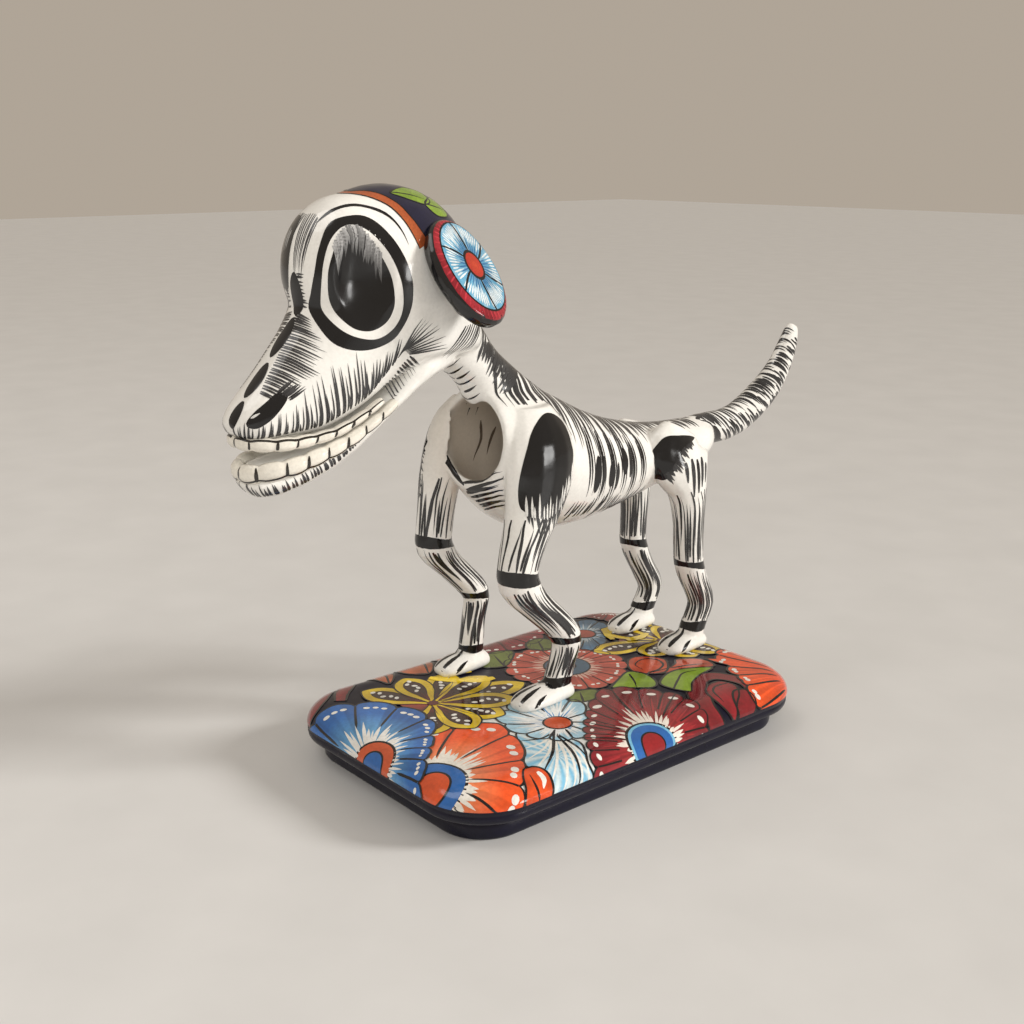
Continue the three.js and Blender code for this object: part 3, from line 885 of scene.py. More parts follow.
def polar(points, count):
    """The outline's points at even turns about the eye's middle."""
    away = np.array(points)[:, :2] - np.array(EYE)
    turns = np.arctan2(away[:, 1], away[:, 0]) % (2 * math.pi)
    order = np.argsort(turns)
    reach = np.linalg.norm(away, axis=1)[order]
    wanted = np.linspace(0, 2 * math.pi, count, endpoint=False)
    found = np.interp(wanted, turns[order], reach, period=2 * math.pi)
    return np.stack([EYE[0] + found * np.cos(wanted), EYE[1] + found * np.sin(wanted), 0 * wanted], axis=1)


def paint_cap(brush, side):
    """The dark cap over the back of the skull, its orange stripe and its leaves."""
    front = mirrored(STRIPE_FRONT, side)
    back = mirrored(STRIPE_BACK, side)
    low = mirrored(CAP_LOW, side)
    brush.band(CAP_RIDGE, [*back[1:], *low[1:]], CAP_BLUE)
    brush.band(front, back, lambda along, across: mixed(ORANGE_BROWN, STRIPE_DARK, across * 0.7), 1)
    for edge in (front, back):
        brush.stroke(edge, 0.8, BLACK, 3, blunt=1, tip=0.5)
    brush.stroke(low, 1.2, BLACK, 2, blunt=1, tip=1)
    for outline in CAP_LEAVES:
        paint_leaf(brush, mirrored(outline, side), 2)
    brush.stroke(mirrored(ARC_OVER_EYE, side), 2.0, BLACK, 1, blunt=0.25, tip=0.05)


def paint_leaf(brush, outline, layer):
    """A green leaf with a dark outline and a vein."""
    points = [np.array(p, float) for p in outline]
    root, tip = points[0], points[len(points) // 2]
    brush.patch(outline, lambda out, turn: mixed(LEAF_GREEN, LEAF_DARK, 0.35 * abs(math.sin(turn * 9))),
                layer)
    brush.outline(outline, 0.8, BLACK, layer + 1)
    vein = [root, (root + tip) / 2, root + (tip - root) * 0.85]
    brush.stroke(vein, 0.9, BLACK, layer + 1, blunt=0.6, tip=0)


BRIDGE_HATCH = [(-15, -147.5, 246), (-15.5, -149.5, 240), (-12.6, -156, 229.5), (-11, -162.5, 222.6),
                (-10, -167, 217), (-8, -172, 211)]
BRIDGE_HATCH_ENDS = [(-4, -144.5, 242), (2.5, -142.5, 229.5), (3.5, -146, 221), (1.5, -152.5, 217),
                     (0, -161, 211.5), (-1.5, -167, 207)]
SPOT_HATCH = [(-12.5, -145.5, 264), (-12.5, -147, 256), (-12, -148, 247)]
SPOT_HATCH_ENDS = [(-8.5, -144, 264), (-8, -145.5, 255), (-7, -146.5, 246.5)]
GUM_LOW = [(-14, -183, 191), (-11, -181, 189.8), (-6, -177.6, 189), (-1.7, -170, 189.2),
           (0.5, -161.6, 189.8), (2.2, -152.5, 190.4), (3.3, -144, 192), (4, -133, 198.4),
           (4, -122.5, 205.5), (6.7, -116, 213.5), (8.6, -108.8, 222)]
GUM_MIDDLE = [(-13, -183, 195), (-10, -181, 194), (-5, -178, 194), (0, -170, 195), (1, -161, 196.5),
              (2.4, -152, 198.5), (3.6, -143, 202), (5, -133, 209), (6, -122.5, 215), (8, -115, 220),
              (9.5, -107.6, 226)]
GUM_HIGH = [(-12, -183, 199), (-8, -181, 200.5), (-4, -177, 199), (0, -167, 202.5), (1, -158, 207.5),
            (2.6, -150, 216), (4, -143, 221.5), (6.4, -133, 226.5), (7.5, -124.4, 226),
            (8.5, -117.6, 225.5), (9, -113, 230), (10.5, -105, 234)]
FAN_ROOTS = [(9.4, -108, 223), (9.6, -105, 226.5), (9.4, -101, 224)]
FAN_ENDS = [(12, -96, 243), (11, -88, 240), (9, -80, 232), (6, -73, 224)]
JAW_REAR = [(4, -113, 209), (5, -108.4, 214), (6.5, -106, 219), (8.4, -100, 224.5)]
JAW_REAR_ENDS = [(0, -104, 201.5), (0, -97.5, 206.5), (1, -92, 212), (1, -87, 217)]
JAW_LOW = [(-14, -177, 162.5), (-8.6, -172, 161), (-4.7, -164, 161.5), (-2.5, -155, 164.5),
           (-1.2, -147, 169), (-0.4, -138, 174), (1, -130, 179.5), (3, -123, 185), (4, -116, 191),
           (3.5, -108, 197.5)]
JAW_HIGH = [(-14, -179.3, 171), (-6.5, -175.5, 170), (-2.4, -165, 170.8), (-0.6, -156, 173.4),
            (0.6, -147, 177.4), (1.4, -138, 181.4), (2.6, -131, 186), (4.4, -124, 191), (5, -117, 196.5),
            (5, -110, 203)]
BROW_HATCH = [(-17, -138, 288.5), (-11, -137, 289), (-6.5, -138.5, 286)]
BROW_HATCH_ENDS = [(-14, -148, 262), (-11, -147, 261), (-8.5, -146.6, 260)]
NECK_JOIN = [(8, -67, 234.5), (7, -61, 235), (3, -55, 235), (-3, -50, 236)]
NECK_JOIN_ENDS = [(1, -83, 218.5), (2, -75, 219), (3, -68, 219.5), (2, -60, 221)]

HEAD_HATCHES = [  # where the strokes start and end, how many there are, their width and how they lie
    (BRIDGE_HATCH, BRIDGE_HATCH_ENDS, 33, 1.0, dict(layer=1)),
    (SPOT_HATCH, SPOT_HATCH_ENDS, 10, 1.1, dict(spread=(0.7, 1.1), layer=1)),
    (GUM_LOW, GUM_HIGH, 50, 1.0, dict(spread=(0.6, 1.1), layer=1, bow=0.1)),
    (GUM_LOW, GUM_MIDDLE, 26, 1.1, dict(spread=(0.5, 1.1), layer=2)),
    (FAN_ROOTS, FAN_ENDS, 11, 0.8, dict(spread=(0.75, 1.0), layer=1, blunt=0.3)),
    (JAW_REAR, JAW_REAR_ENDS, 11, 1.2, dict(spread=(0.75, 1.0), layer=1)),
    (JAW_LOW, JAW_HIGH, 44, 1.4, dict(layer=1)),
    (BROW_HATCH, BROW_HATCH_ENDS, 9, 0.75, dict(spread=(0.8, 1.1), layer=1, colour=HATCH_GREY)),
    (NECK_JOIN, NECK_JOIN_ENDS, 9, 0.9, dict(spread=(0.75, 1.05), layer=1, bow=0.15)),
]


def paint_head_side(brush, side):
    paint_cap(brush, side)
    for starts, ends, count, width, manner in HEAD_HATCHES:
        brush.hatch(mirrored(starts, side), mirrored(ends, side), count, width, **manner)
    brush.patch(mirrored(NOSTRIL, side), BLACK, 2)
    brush.hatch(mirrored(NOSTRIL_HATCH, side), mirrored(NOSTRIL_HATCH_ENDS, side), 8, 1.0, layer=2)
    brush.stroke(mirrored(NOSTRIL_SHINE, side), 1.1, WHITE, 4, blunt=0.4, tip=0.2)


def paint_head():
    brush = Brush(Body(HEAD))
    for side in (1, -1):
        paint_head_side(brush, side)
    brush.patch(FAR_EYE_EDGE, BLACK, 3)
    # painted highlight strokes standing in for the sheen inside the far eye's glossy black bowl
    for shine in FAR_EYE_SHINE:
        brush.stroke(shine, 1.6, SHINE_GREY, 4, blunt=0.6, tip=0)
    for middle, half_long, half_wide in BRIDGE_SPOTS:
        brush.oval(middle, half_long, half_wide, BRIDGE_RUN, BLACK, 2)
    brush.piece("paint_head", INK_GLAZE, "white_glaze")


# The gum edge of each row of teeth from the front tooth back, [x out, y, z].
UPPER_ROW = [(0, -179.5, 189.3), (8, -177.5, 189), (13.5, -170, 188.4), (16.5, -160, 188.4),
             (18.2, -150, 189.3), (19.8, -140, 191.2), (21, -131.5, 194.6), (22, -123.5, 198.8),
             (22.6, -115, 203.8)]
LOWER_ROW = [(0, -177.8, 174.3), (8, -175.8, 174.8), (13, -169, 176), (16, -159.5, 177.5),
             (17.4, -148, 180.6), (18.4, -138, 183.8), (19.2, -129, 187.6), (19.6, -121, 192),
             (19.8, -113, 196.6), (19.6, -105.5, 201.5)]
TEETH_A_SIDE = 8
TOOTH_STEPS = 6  # places along a row to each tooth
FRONT_PLACES = 10  # the last of a row's places on the front of the mouth, where outwards is forwards
SHRINK = 0.45  # how much lower a row's back teeth are
TOOTH_INK = (0.03, 0.026, 0.022)
TOOTH_ROWS = [  # half the front tooth's height, the width of the lines, and 1 where the gum is above
    (UPPER_ROW, 3.6, 1.25, 1),
    (LOWER_ROW, 4.6, 1.5, -1),
]


def tooth_lines(brush, path, outward, side, half_tall, width):
    """An upright dark line between each two teeth."""
    for tooth in range(0 if side > 0 else 1, TEETH_A_SIDE):
        spot = tooth * TOOTH_STEPS
        middle = Vector(path[spot]) + outward[spot]
        tall = half_tall * (1 - SHRINK * tooth / TEETH_A_SIDE)
        lean = RANDOM.uniform(-0.5, 0.5)
        brush.stroke([middle + Vector((0, lean, -tall)), middle, middle + Vector((0, -lean, tall))],
                     width * RANDOM.uniform(0.8, 1.2), TOOTH_INK, 1, blunt=0.6, tip=0.3)


def gum_line(brush, path, outward, half_tall, gum):
    """A line along the gum that arches over each tooth."""
    edge = []
    for i, point in enumerate(path):
        arch = abs(math.sin(math.pi * i / TOOTH_STEPS))
        tall = half_tall * (1 - SHRINK * i / len(path)) * (0.72 + 0.2 * arch)
        edge.append(Vector(point) + outward[i] * 0.9 + Vector((0, 0, gum * tall)))
    brush.stroke(edge, 1.15, TOOTH_INK, 1, blunt=0.9, tip=0.4)


def paint_teeth():
    """Dark lines between the teeth and round their gums."""
    brush = Brush(Body(TEETH_SURFACE))
    for row, half_tall, width, gum in TOOTH_ROWS:
        for side in (1, -1):
            path = curve([(MID + side * x, y, z) for x, y, z in row], TEETH_A_SIDE * TOOTH_STEPS + 1)
            outward = [Vector((side * 3.2, 0, 0)) if i > FRONT_PLACES else Vector((side * 1.5, -3.0, 0))
                       for i in range(len(path))]
            tooth_lines(brush, path, outward, side, half_tall, width)
            gum_line(brush, path, outward, half_tall, gum)
    brush.piece("paint_teeth", INK_GLAZE, "tooth_glaze")


# ---------------------------------------------------------------- paint on the ears

EAR_MIDDLE = (37, -76, 261)  # the first is how far out from the dog's middle plane
EAR_LONG, EAR_WIDE = 28.5, 21.8
EAR_PROUD = 5
EAR_NORMAL = Vector((0.79, 0.24, 0.56)).normalized()
EAR_SIDES = 48
CRIMSON = (0.40, 0.022, 0.035)
CRIMSON_DARK = (0.25, 0.01, 0.02)
CRIMSON_LIGHT = (0.46, 0.03, 0.045)
PETAL_BLUE = (0.13, 0.40, 0.60)
PETAL_DEEP = (0.03, 0.16, 0.36)
PETAL_PALE = (0.60, 0.78, 0.86)
PETAL_TOUCH = (0.78, 0.86, 0.88)
DISC_RED, DISC_DARK = (0.62, 0.06, 0.02), (0.5, 0.03, 0.015)
DISC_SHIFT = (0.08, -2.6)  # share of the way out and turn of the flower's middle
RIM_STROKES = 46
STREAKS = 64
EAR_PETALS = 6
PETAL_BEND = 0.3
LIGHT_TOUCHES, DARK_TOUCHES = 11, 5  # on each petal


def ear_place(side, share, turn):
    """A place on an ear's face, share of the way out from its middle and turned round it."""
    down = (Vector((0, 0, -1)) + EAR_NORMAL * EAR_NORMAL.z).normalized()
    across = down.cross(EAR_NORMAL)
    place = Vector(EAR_MIDDLE) + EAR_NORMAL * EAR_PROUD
    place += across * EAR_WIDE * share * math.cos(turn) + down * EAR_LONG * share * math.sin(turn)
    return (MID + side * place.x, place.y, place.z)


def ear_ring(side, share):
    return [ear_place(side, share, turn) for turn in even_turns(EAR_SIDES)]


class EarFlower:
    """The flower painted on an ear, whose middle lies a little off the ear's own."""

    def __init__(self, brush, side):
        self.brush, self.side = brush, side
        self.off = Vector(ear_place(side, *DISC_SHIFT)) - Vector(ear_place(side, 0, 0))

    def spot(self, share, turn):
        return Vector(ear_place(self.side, share, turn)) + self.off

    def disc(self, share, colour, layer):
        ring = [tuple(Vector(p) + self.off) for p in ear_ring(self.side, share)]
        self.brush.patch(ring, colour, layer, centre=self.spot(0, 0), smooth=False)

    def line(self, start, end, spin, width, colour, blunt):
        ends = [self.spot(start, spin), self.spot(end, spin)]
        self.brush.stroke(ends, width, colour, 5, blunt=blunt, tip=0)

    def petal(self, turn):
        """Light touches in from a petal's edge, dark ones out from its root, and the line beside it."""
        spread = 2 * math.pi / EAR_PETALS
        for i in range(LIGHT_TOUCHES):
            outer = 0.79 - RANDOM.uniform(0, 0.05)
            inner = outer - RANDOM.uniform(0.18, 0.42)
            self.line(outer, inner, turn + spread * (i + 0.9) / 12, 0.95, PETAL_TOUCH, 0.5)
        for i in range(DARK_TOUCHES):
            outer = RANDOM.uniform(0.42, 0.6)
            self.line(0.28, outer, turn + spread * (i + 1.2) / 6.5, 0.8, PETAL_DEEP, 0.7)
        path = [self.spot(s, turn + PETAL_BEND * (s - 0.3)) for s in (0.27, 0.45, 0.65, 0.82)]
        self.brush.stroke(path, 1.2, BLACK, 6, blunt=0.5, tip=0.8)


def crimson(out, turn):
    return mixed(CRIMSON, CRIMSON_DARK, 0.5 + 0.5 * math.sin(turn * 40))


def paint_ear_rim(brush, side):
    brush.patch(ear_ring(side, 1.0), crimson, 0, hole=0.7, centre=ear_place(side, 0, 0), smooth=False)
    for spin in even_turns(RIM_STROKES):
        brush.stroke([ear_place(side, 0.78, spin), ear_place(side, 0.98, spin + 0.05)], 0.9,
                     varied(CRIMSON_LIGHT, 0.3), 1, blunt=0.7, tip=0.2)


def paint_ear(side):
    """A crimson rim round a light blue flower with a red-orange middle."""
    brush = Brush(Body(EAR_SURFACES[side]))
    paint_ear_rim(brush, side)
    flower = EarFlower(brush, side)
    flower.disc(0.855, BLACK, 3)
    streak = [RANDOM.uniform(-0.15, 0.15) for _ in range(STREAKS)]

    def petal_colour(out, turn):
        blue = mixed(PETAL_DEEP, PETAL_BLUE, min(1, 0.35 + out))
        return mixed(blue, PETAL_PALE, max(0, streak[int(turn * (STREAKS - 1))] * 3))

    flower.disc(0.82, petal_colour, 4)
    for petal in range(EAR_PETALS):
        flower.petal(2 * math.pi * (petal + 0.35) / EAR_PETALS)
    flower.disc(0.285, BLACK, 7)
    flower.disc(0.23, lambda out, turn: mixed(DISC_RED, DISC_DARK, out), 8)
    brush.piece("paint_ear_" + ("left" if side > 0 else "right"), INK_GLAZE, "ear_glaze")


for head_side in (1, -1):
    paint_eye(head_side)
    paint_ear(head_side)
paint_head()
paint_teeth()

# ---------------------------------------------------------------- paint on the body and legs

JUMP = 11  # a stroke stops where its next place lies further off than this
SLICE = 2.0  # how thick the slices are that give a tube's middle line
NEAR = 10  # where the nearest surface is looked for, off the middle line, when nothing is in view
BAND_ROWS = 7
BAND_COLUMNS = 48
BAND_WAVE, BAND_JITTER = 0.5, 0.15  # how far a band's edges stray, in waves and by chance
BAND_LAYER = 3


class Tube:
    """A long part of the dog, painted by how far along it and how far round it."""

    def __init__(self, names, axis, reach, face):
        self.surface = skin_surface(names)
        self.axis = Vector(axis).normalized()
        self.up = Vector(face).normalized()
        self.up = (self.up - self.axis * self.axis.dot(self.up)).normalized()
        self.side = self.up.cross(self.axis).normalized()
        if self.side.x < 0:
            self.side = -self.side
        self.reach = reach
        points = np.array([(p - ORIGIN) / MM for p in self.surface.points])
        along = points @ np.array(self.axis)
        self.low, self.high = along.min(), along.max()
        self.stops = np.arange(self.low + 1, self.high - 1, SLICE)
        slices = [points[np.abs(along - stop) < SLICE] for stop in self.stops]
        self.middles = np.array([(s.max(axis=0) + s.min(axis=0)) / 2 for s in slices])

    def middle(self, along):
        return Vector([float(np.interp(along, self.stops, column)) for column in self.middles.T])

    def place(self, along, turn):
        """turn is 0 facing up or forwards, 90 degrees on the dog's left and -90 on its right."""
        middle = self.middle(along)
        middle += self.axis * (along - self.axis.dot(middle))
        out = self.up * math.cos(math.radians(turn)) + self.side * math.sin(math.radians(turn))
        hit = self.surface.cast(at(*(middle + out * self.reach)), -out)
        if hit is None:
            hit = self.surface.nearest(at(*(middle + out * NEAR)))
        return tuple((hit[0] - ORIGIN) / MM)

    def line(self, start, end, steps=6):
        """Places from one (along, turn) to another, as far as the surface runs on without a jump."""
        shares = [i / steps for i in range(steps + 1)]
        places = [self.place(*(a + (b - a) * s for a, b in zip(start, end))) for s in shares]
        for i in range(1, len(places)):
            if (Vector(places[i]) - Vector(places[i - 1])).length > JUMP:
                return places[:i]
        return places


LEG_BANDS = {  # each black band's middle height and how tall it is
    "front_left": [(103, 7.5), (61.5, 4.4), (38.5, 4)],
    "front_right": [(109, 6), (72, 4.6), (40, 3.8)],
    "rear_left": [(81, 4.2), (41.5, 5)],
    "rear_right": [(84, 4.6), (41, 4)],
}
LEG_PAINT_TOP = {"front_left": 136, "front_right": 150, "rear_left": 128, "rear_right": 130}
BAND_GAP = 0.5  # between a band and the strokes above or below it
TOP_TILT, TILT = 1.6, 0.6  # how much lower a leg's first band and its others are behind
LEG_STROKES = 36  # round each bone


def paint_band(brush, tube, height, tall, tilt):
    """A black band round a leg at a joint, a little uneven."""
    turns = [360 * i / BAND_COLUMNS for i in range(BAND_COLUMNS)]
    waves = []
    for turn in turns:
        swing = math.sin(math.radians(turn * 2 + height * 7))
        waves.append(BAND_WAVE * swing + RANDOM.uniform(-BAND_JITTER, BAND_JITTER))
    rows = []
    for edge in np.linspace(-1, 1, BAND_ROWS):
        row = []
        for turn, wave in zip(turns, waves):
            lean = tilt * math.cos(math.radians(turn))
            row.append(Vector(tube.place(height + edge * (tall / 2 + wave) + lean, turn)))
        rows.append(row)
    brush.sheet(rows, lambda *_: BLACK, lambda *_: LIFT + LAYER * BAND_LAYER, closed=True)


def leg_stroke(brush, tube, low, high, turn):
    """One stroke along a bone, started from its lower or its upper end."""
    span = high - low
    start = low + span * RANDOM.uniform(-0.03, 0.08)
    reach = span * RANDOM.uniform(0.6, 1.0)
    if RANDOM.random() < 0.35:
        start, reach = high - span * RANDOM.uniform(0, 0.08), -reach
    path = tube.line((start, turn), (start + reach, turn + RANDOM.uniform(-10, 10)))
    if len(path) > 2:
        brush.stroke(path, RANDOM.uniform(0.8, 1.75), ink(), 1, blunt=0.6, end_colour=THIN_INK)


def paint_leg(brush, tube, leg):
    """Long strokes run along each bone, a black band crosses each joint and slits part the toes."""
    bands = LEG_BANDS[leg]
    limits = [(LEG_PAINT_TOP[leg], 0), *bands]
    for (upper, upper_tall), (lower, lower_tall) in zip(limits, limits[1:]):
        high, low = upper - upper_tall / 2 - BAND_GAP, lower + lower_tall / 2 + BAND_GAP
        for i in range(LEG_STROKES):
            turn = 360 * (i + RANDOM.uniform(-0.35, 0.35)) / LEG_STROKES
            leg_stroke(brush, tube, low, high, turn)
    for i, (height, tall) in enumerate(bands):
        paint_band(brush, tube, height, tall, TOP_TILT if i == 0 else TILT)
    paint_toes(brush, leg)


TOE_SLITS = (-0.4, 0.25)  # places across a paw, as shares of half its width
TOE_SIDES = (-0.8, 0.8)


def paint_toes(brush, leg):
    low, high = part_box(leg + "_paw")
    low, high = (low - ORIGIN) / MM, (high - ORIGIN) / MM
    middle_x, half = (low.x + high.x) / 2, (high.x - low.x) / 2
    for share in TOE_SLITS:
        x = middle_x + half * share
        slit = [(x, low.y + 2, TOP + 3), (x, low.y + 7, TOP + 8),
                (middle_x + half * share * 0.7, low.y + 16, TOP + 14)]
        brush.stroke(slit, 2.9, BLACK, 1, blunt=0.4, tip=0.15)
    for share in TOE_SIDES:
        x = middle_x + half * share
        brush.stroke([(x, low.y + 6, TOP + 3), (x, low.y + 15, TOP + 8)], 2.0, BLACK, 1, blunt=0.3, tip=0.1)


PAD = [(-19.6, 186.5), (-9.3, 182.3), (-7, 171.8), (-6.4, 162.7), (-12, 150.1), (-19.9, 139.8),
       (-33.5, 140.5), (-41.2, 140.3), (-41.4, 153.7), (-38.1, 167), (-31.5, 179.3)]
PAD_FOOT = [(-8, 152), (-13, 145), (-20, 139), (-28, 137), (-34, 138), (-41, 140)]
LEG_FAR, LEG_NEAR = 90, 40
PAD_TOP = 188
PAD_BACK, PAD_LEAN = 6.5, 0.25  # how the pad on the far side lies: further forward, the more so lower down


def pad_places(points, side):
    if side > 0:
        return flat(points)
    return [(y - PAD_BACK - (PAD_TOP - z) * PAD_LEAN, z, 0) for y, z in points]


def shifted(points, along, up):
    return [(y + along, z + up, 0) for y, z, _ in points]


def paint_pad(surface, side, name):
    """The great black teardrop on a shoulder, feathered out at its foot."""
    brush = Brush(Side(surface, side, LEG_FAR, LEG_NEAR))
    brush.patch(pad_places(PAD, side), BLACK, 2)
    foot = pad_places(PAD_FOOT, side)
    brush.hatch(shifted(foot, 0, 4), shifted(foot, 1.5, -12), 22, 1.8, spread=(0.4, 1.15), layer=2,
                blunt=0.9)
    brush.hatch(shifted(foot, 0, -2.5), shifted(foot, 0.5, 9), 17, 1.0, colour=WHITE, spread=(0.5, 1.2),
                layer=4, blunt=0.6, tip=0)
    brush.piece(name, INK_GLAZE, "white_glaze")


HIP = [(9, 100, 156.5), (10, 95, 158.5), (11, 85, 160.5), (9, 76, 160.5), (6, 69.5, 154), (5, 67, 146),
       (4, 66, 139), (5, 70, 135.5), (10, 75, 135.5), (13, 79, 141), (13.6, 82.5, 147.5), (13, 88, 152),
       (10, 95, 154.5)]
HIP_FEATHER = [(12, 95, 156), (13, 87, 153.5), (13, 82, 149), (12, 78, 143), (9, 74, 138.5)]
HIP_FEATHER_ENDS = [(13, 98, 151.5), (14, 91, 148), (14, 87.5, 142.5), (13, 84, 137.5), (11, 80, 132.5)]
HIP_SLOTS = [[(16, 86, 145), (16.5, 87.5, 133)], [(16, 91, 146.5), (17, 92.5, 124)],
             [(15.6, 95.4, 145.5), (18, 95.6, 126)], [(14.6, 99.6, 146), (17, 98.4, 129)],
             [(13, 103, 142), (15, 101.5, 131)]]


def paint_hip(brush, side):
    """The black comma on a hip, feathered out at its inner edge, and the slots behind it."""
    brush.patch(mirrored(HIP, side), BLACK, 3)
    brush.hatch(mirrored(HIP_FEATHER, side), mirrored(HIP_FEATHER_ENDS, side), 15, 1.9, layer=3,
                spread=(0.5, 1.0), blunt=1.0)
    for slot in HIP_SLOTS:
        brush.stroke(mirrored(slot, side), 2.6, ink(), 2, blunt=0.5, tip=0.3)


def paint_legs():
    surfaces = {}
    for leg in LEGS:
        tube = Tube([n for n in LEG_NODES if n.startswith(leg)], (0, 0, 1), 34, (0, -1, 0))
        surfaces[leg] = tube.surface
        brush = Brush(Body(tube.surface))
        paint_leg(brush, tube, leg)
        if "rear" in leg:
            paint_hip(brush, 1 if "left" in leg else -1)
        brush.piece("paint_" + leg, INK_GLAZE, "white_glaze")
    paint_pad(surfaces["front_left"], 1, "paint_pad_left")
    paint_pad(surfaces["front_right"], -1, "paint_pad_right")


SPINE_FRONT, SPINE_REAR = -40, 128  # how far the strokes across the back run
BACK_STROKES = 56
SHOULDERS_END = 70  # further back than this the strokes reach less far down
BELLY_FRONT, BELLY_LONG, BELLY_STROKES = 2, 66, 26
RIBS = [11, 20, 29, 38, 47, 56]
SLOTS = [(19, 148, 11), (31, 146, 7.5), (43, 152, 8)]
BREAST = [[(-21, -47, 147), (11, -43.5, 160)], [(-20.5, -46, 144), (11, -43.4, 156)],
          [(-19.3, -44.6, 142), (11, -43.3, 152)], [(-18.5, -43.6, 140), (11, -43, 148.5)],
          [(-17, -41.5, 137.5), (10, -42, 144)], [(-15.5, -39.5, 135), (8, -40, 140.5)],
          [(-14.5, -37, 132.5), (6, -37.5, 137)]]
RIM = [(-37.6, -46.5, 160), (-33, -46.5, 155.5), (-28.9, -46.3, 151.4), (-25.3, -46.2, 149),
       (-20, -46.8, 146.5)]

# the warm grey-brown inside the open chest: bare clay darkened by painted shade
CHEST_CLAY_AND_SHADE = (0.60, 0.53, 0.44)
CAVITY_INK = (0.16, 0.12, 0.09)
CAVITY_SLITS = [[(-40.5, -19, 175), (-43, -17, 163), (-42, -24, 152)],
                [(-41, -8, 170), (-43, -11, 160), (-42.5, -13, 154)]]
SLOT_RUN = (0, 0.08, 1)
SLOT_OUT = 13
SLOT_EDGE = (0.02,) * 3
RIB_STROKES = ((0, 1.9), (2.1, 1.0), (-1.9, 1.2))  # how far behind the rib's middle, and how wide


def paint_back(brush, tube):
    """Strokes from the spine down each flank."""
    for i in range(BACK_STROKES):
        along = SPINE_FRONT + (SPINE_REAR - SPINE_FRONT) * (i + RANDOM.uniform(-0.3, 0.3)) / BACK_STROKES
        for side in (1, -1):
            start = RANDOM.uniform(-12, 12)
            reach = RANDOM.uniform(44, 74) if along < SHOULDERS_END else RANDOM.uniform(32, 54)
            path = tube.line((along, side * start), (along + RANDOM.uniform(1, 4), side * reach))
            brush.stroke(path, RANDOM.uniform(1.5, 3.0), ink(), 1, blunt=0.6, end_colour=THIN_INK)


def rib_stroke(brush, tube, along, side, width, shade):
    low = RANDOM.uniform(104, 128)
    first = RANDOM.uniform(38, 56)
    path = [tube.place(along + 3.5 * math.sin(math.radians(t)), side * t)
            for t in np.linspace(first, low, 8)]
    brush.stroke(path, width * RANDOM.uniform(0.8, 1.3), shade, 0, blunt=0.3, tip=0.1)


def paint_ribs(brush, tube):
    """A black line down each rib between two thinner, paler ones."""
    for rib in RIBS:
        for side in (1, -1):
            shades = (BLACK, ink(), ink())
            for (offset, width), shade in zip(RIB_STROKES, shades):
                rib_stroke(brush, tube, rib + offset, side, width, shade)


def paint_flank(brush, tube, side):
    """The slots between the ribs and the strokes up from the belly."""
    for y, z, half in SLOTS:
        middle, edge = mirrored([(SLOT_OUT, y, z), (SLOT_OUT, y + 5, z - 2)], side)
        brush.oval(middle, half, 2.7, SLOT_RUN, BLACK, 3)
        brush.oval(edge, half * 1.1, 1.2, SLOT_RUN, SLOT_EDGE, 3)
    for i in range(BELLY_STROKES):
        along = BELLY_FRONT + BELLY_LONG * (i + RANDOM.uniform(-0.3, 0.3)) / BELLY_STROKES
        path = tube.line((along, side * RANDOM.uniform(138, 160)),
                         (along + 3, side * RANDOM.uniform(112, 128)), 4)
        brush.stroke(path, RANDOM.uniform(1.0, 2.0), ink(), 1, blunt=0.5)


def paint_breast(brush):
    for line in BREAST:
        for _ in range(2):
            shift = Vector((RANDOM.uniform(-1, 2), 0, RANDOM.uniform(-0.8, 0.8)))
            a, b = (Vector(end) + shift for end in line)
            b = a + (b - a) * RANDOM.uniform(0.75, 1.0)
            middle = (a + b) / 2 + Vector((0, -2, 0))
            brush.stroke([a, middle, b], RANDOM.uniform(1.1, 2.1), ink(), 1, blunt=0.5)


def paint_torso():
    tube = Tube(["torso", "neck"], (0, 1, 0), 70, (0, 0, 1))
    brush = Brush(Body(tube.surface))
    paint_back(brush, tube)
    paint_ribs(brush, tube)
    for side in (1, -1):
        paint_flank(brush, tube, side)
    paint_breast(brush)
    for slit in CAVITY_SLITS:
        brush.stroke(slit, 1.8, CAVITY_INK, 1, blunt=0.3, tip=0.1)
    brush.stroke(RIM, 3.2, BLACK, 2, blunt=0.25, tip=0.3)
    brush.piece("paint_torso", INK_GLAZE, "white_glaze")


NAPE = [(-8, -47, 226.5), (-8, -43, 223.5), (-10, -35, 218), (-11, -26, 211), (-10, -19, 204)]
NAPE_ENDS = [(-4.5, -50.5, 213), (-4.6, -47, 211), (-4.5, -41.5, 205.5), (-4, -36.5, 199), (-2, -32, 194)]
NECK_STROKES = 26
TAIL_STROKES = 62
TAIL_ROOT = 0.13  # the share of the tail over which its strokes are wider


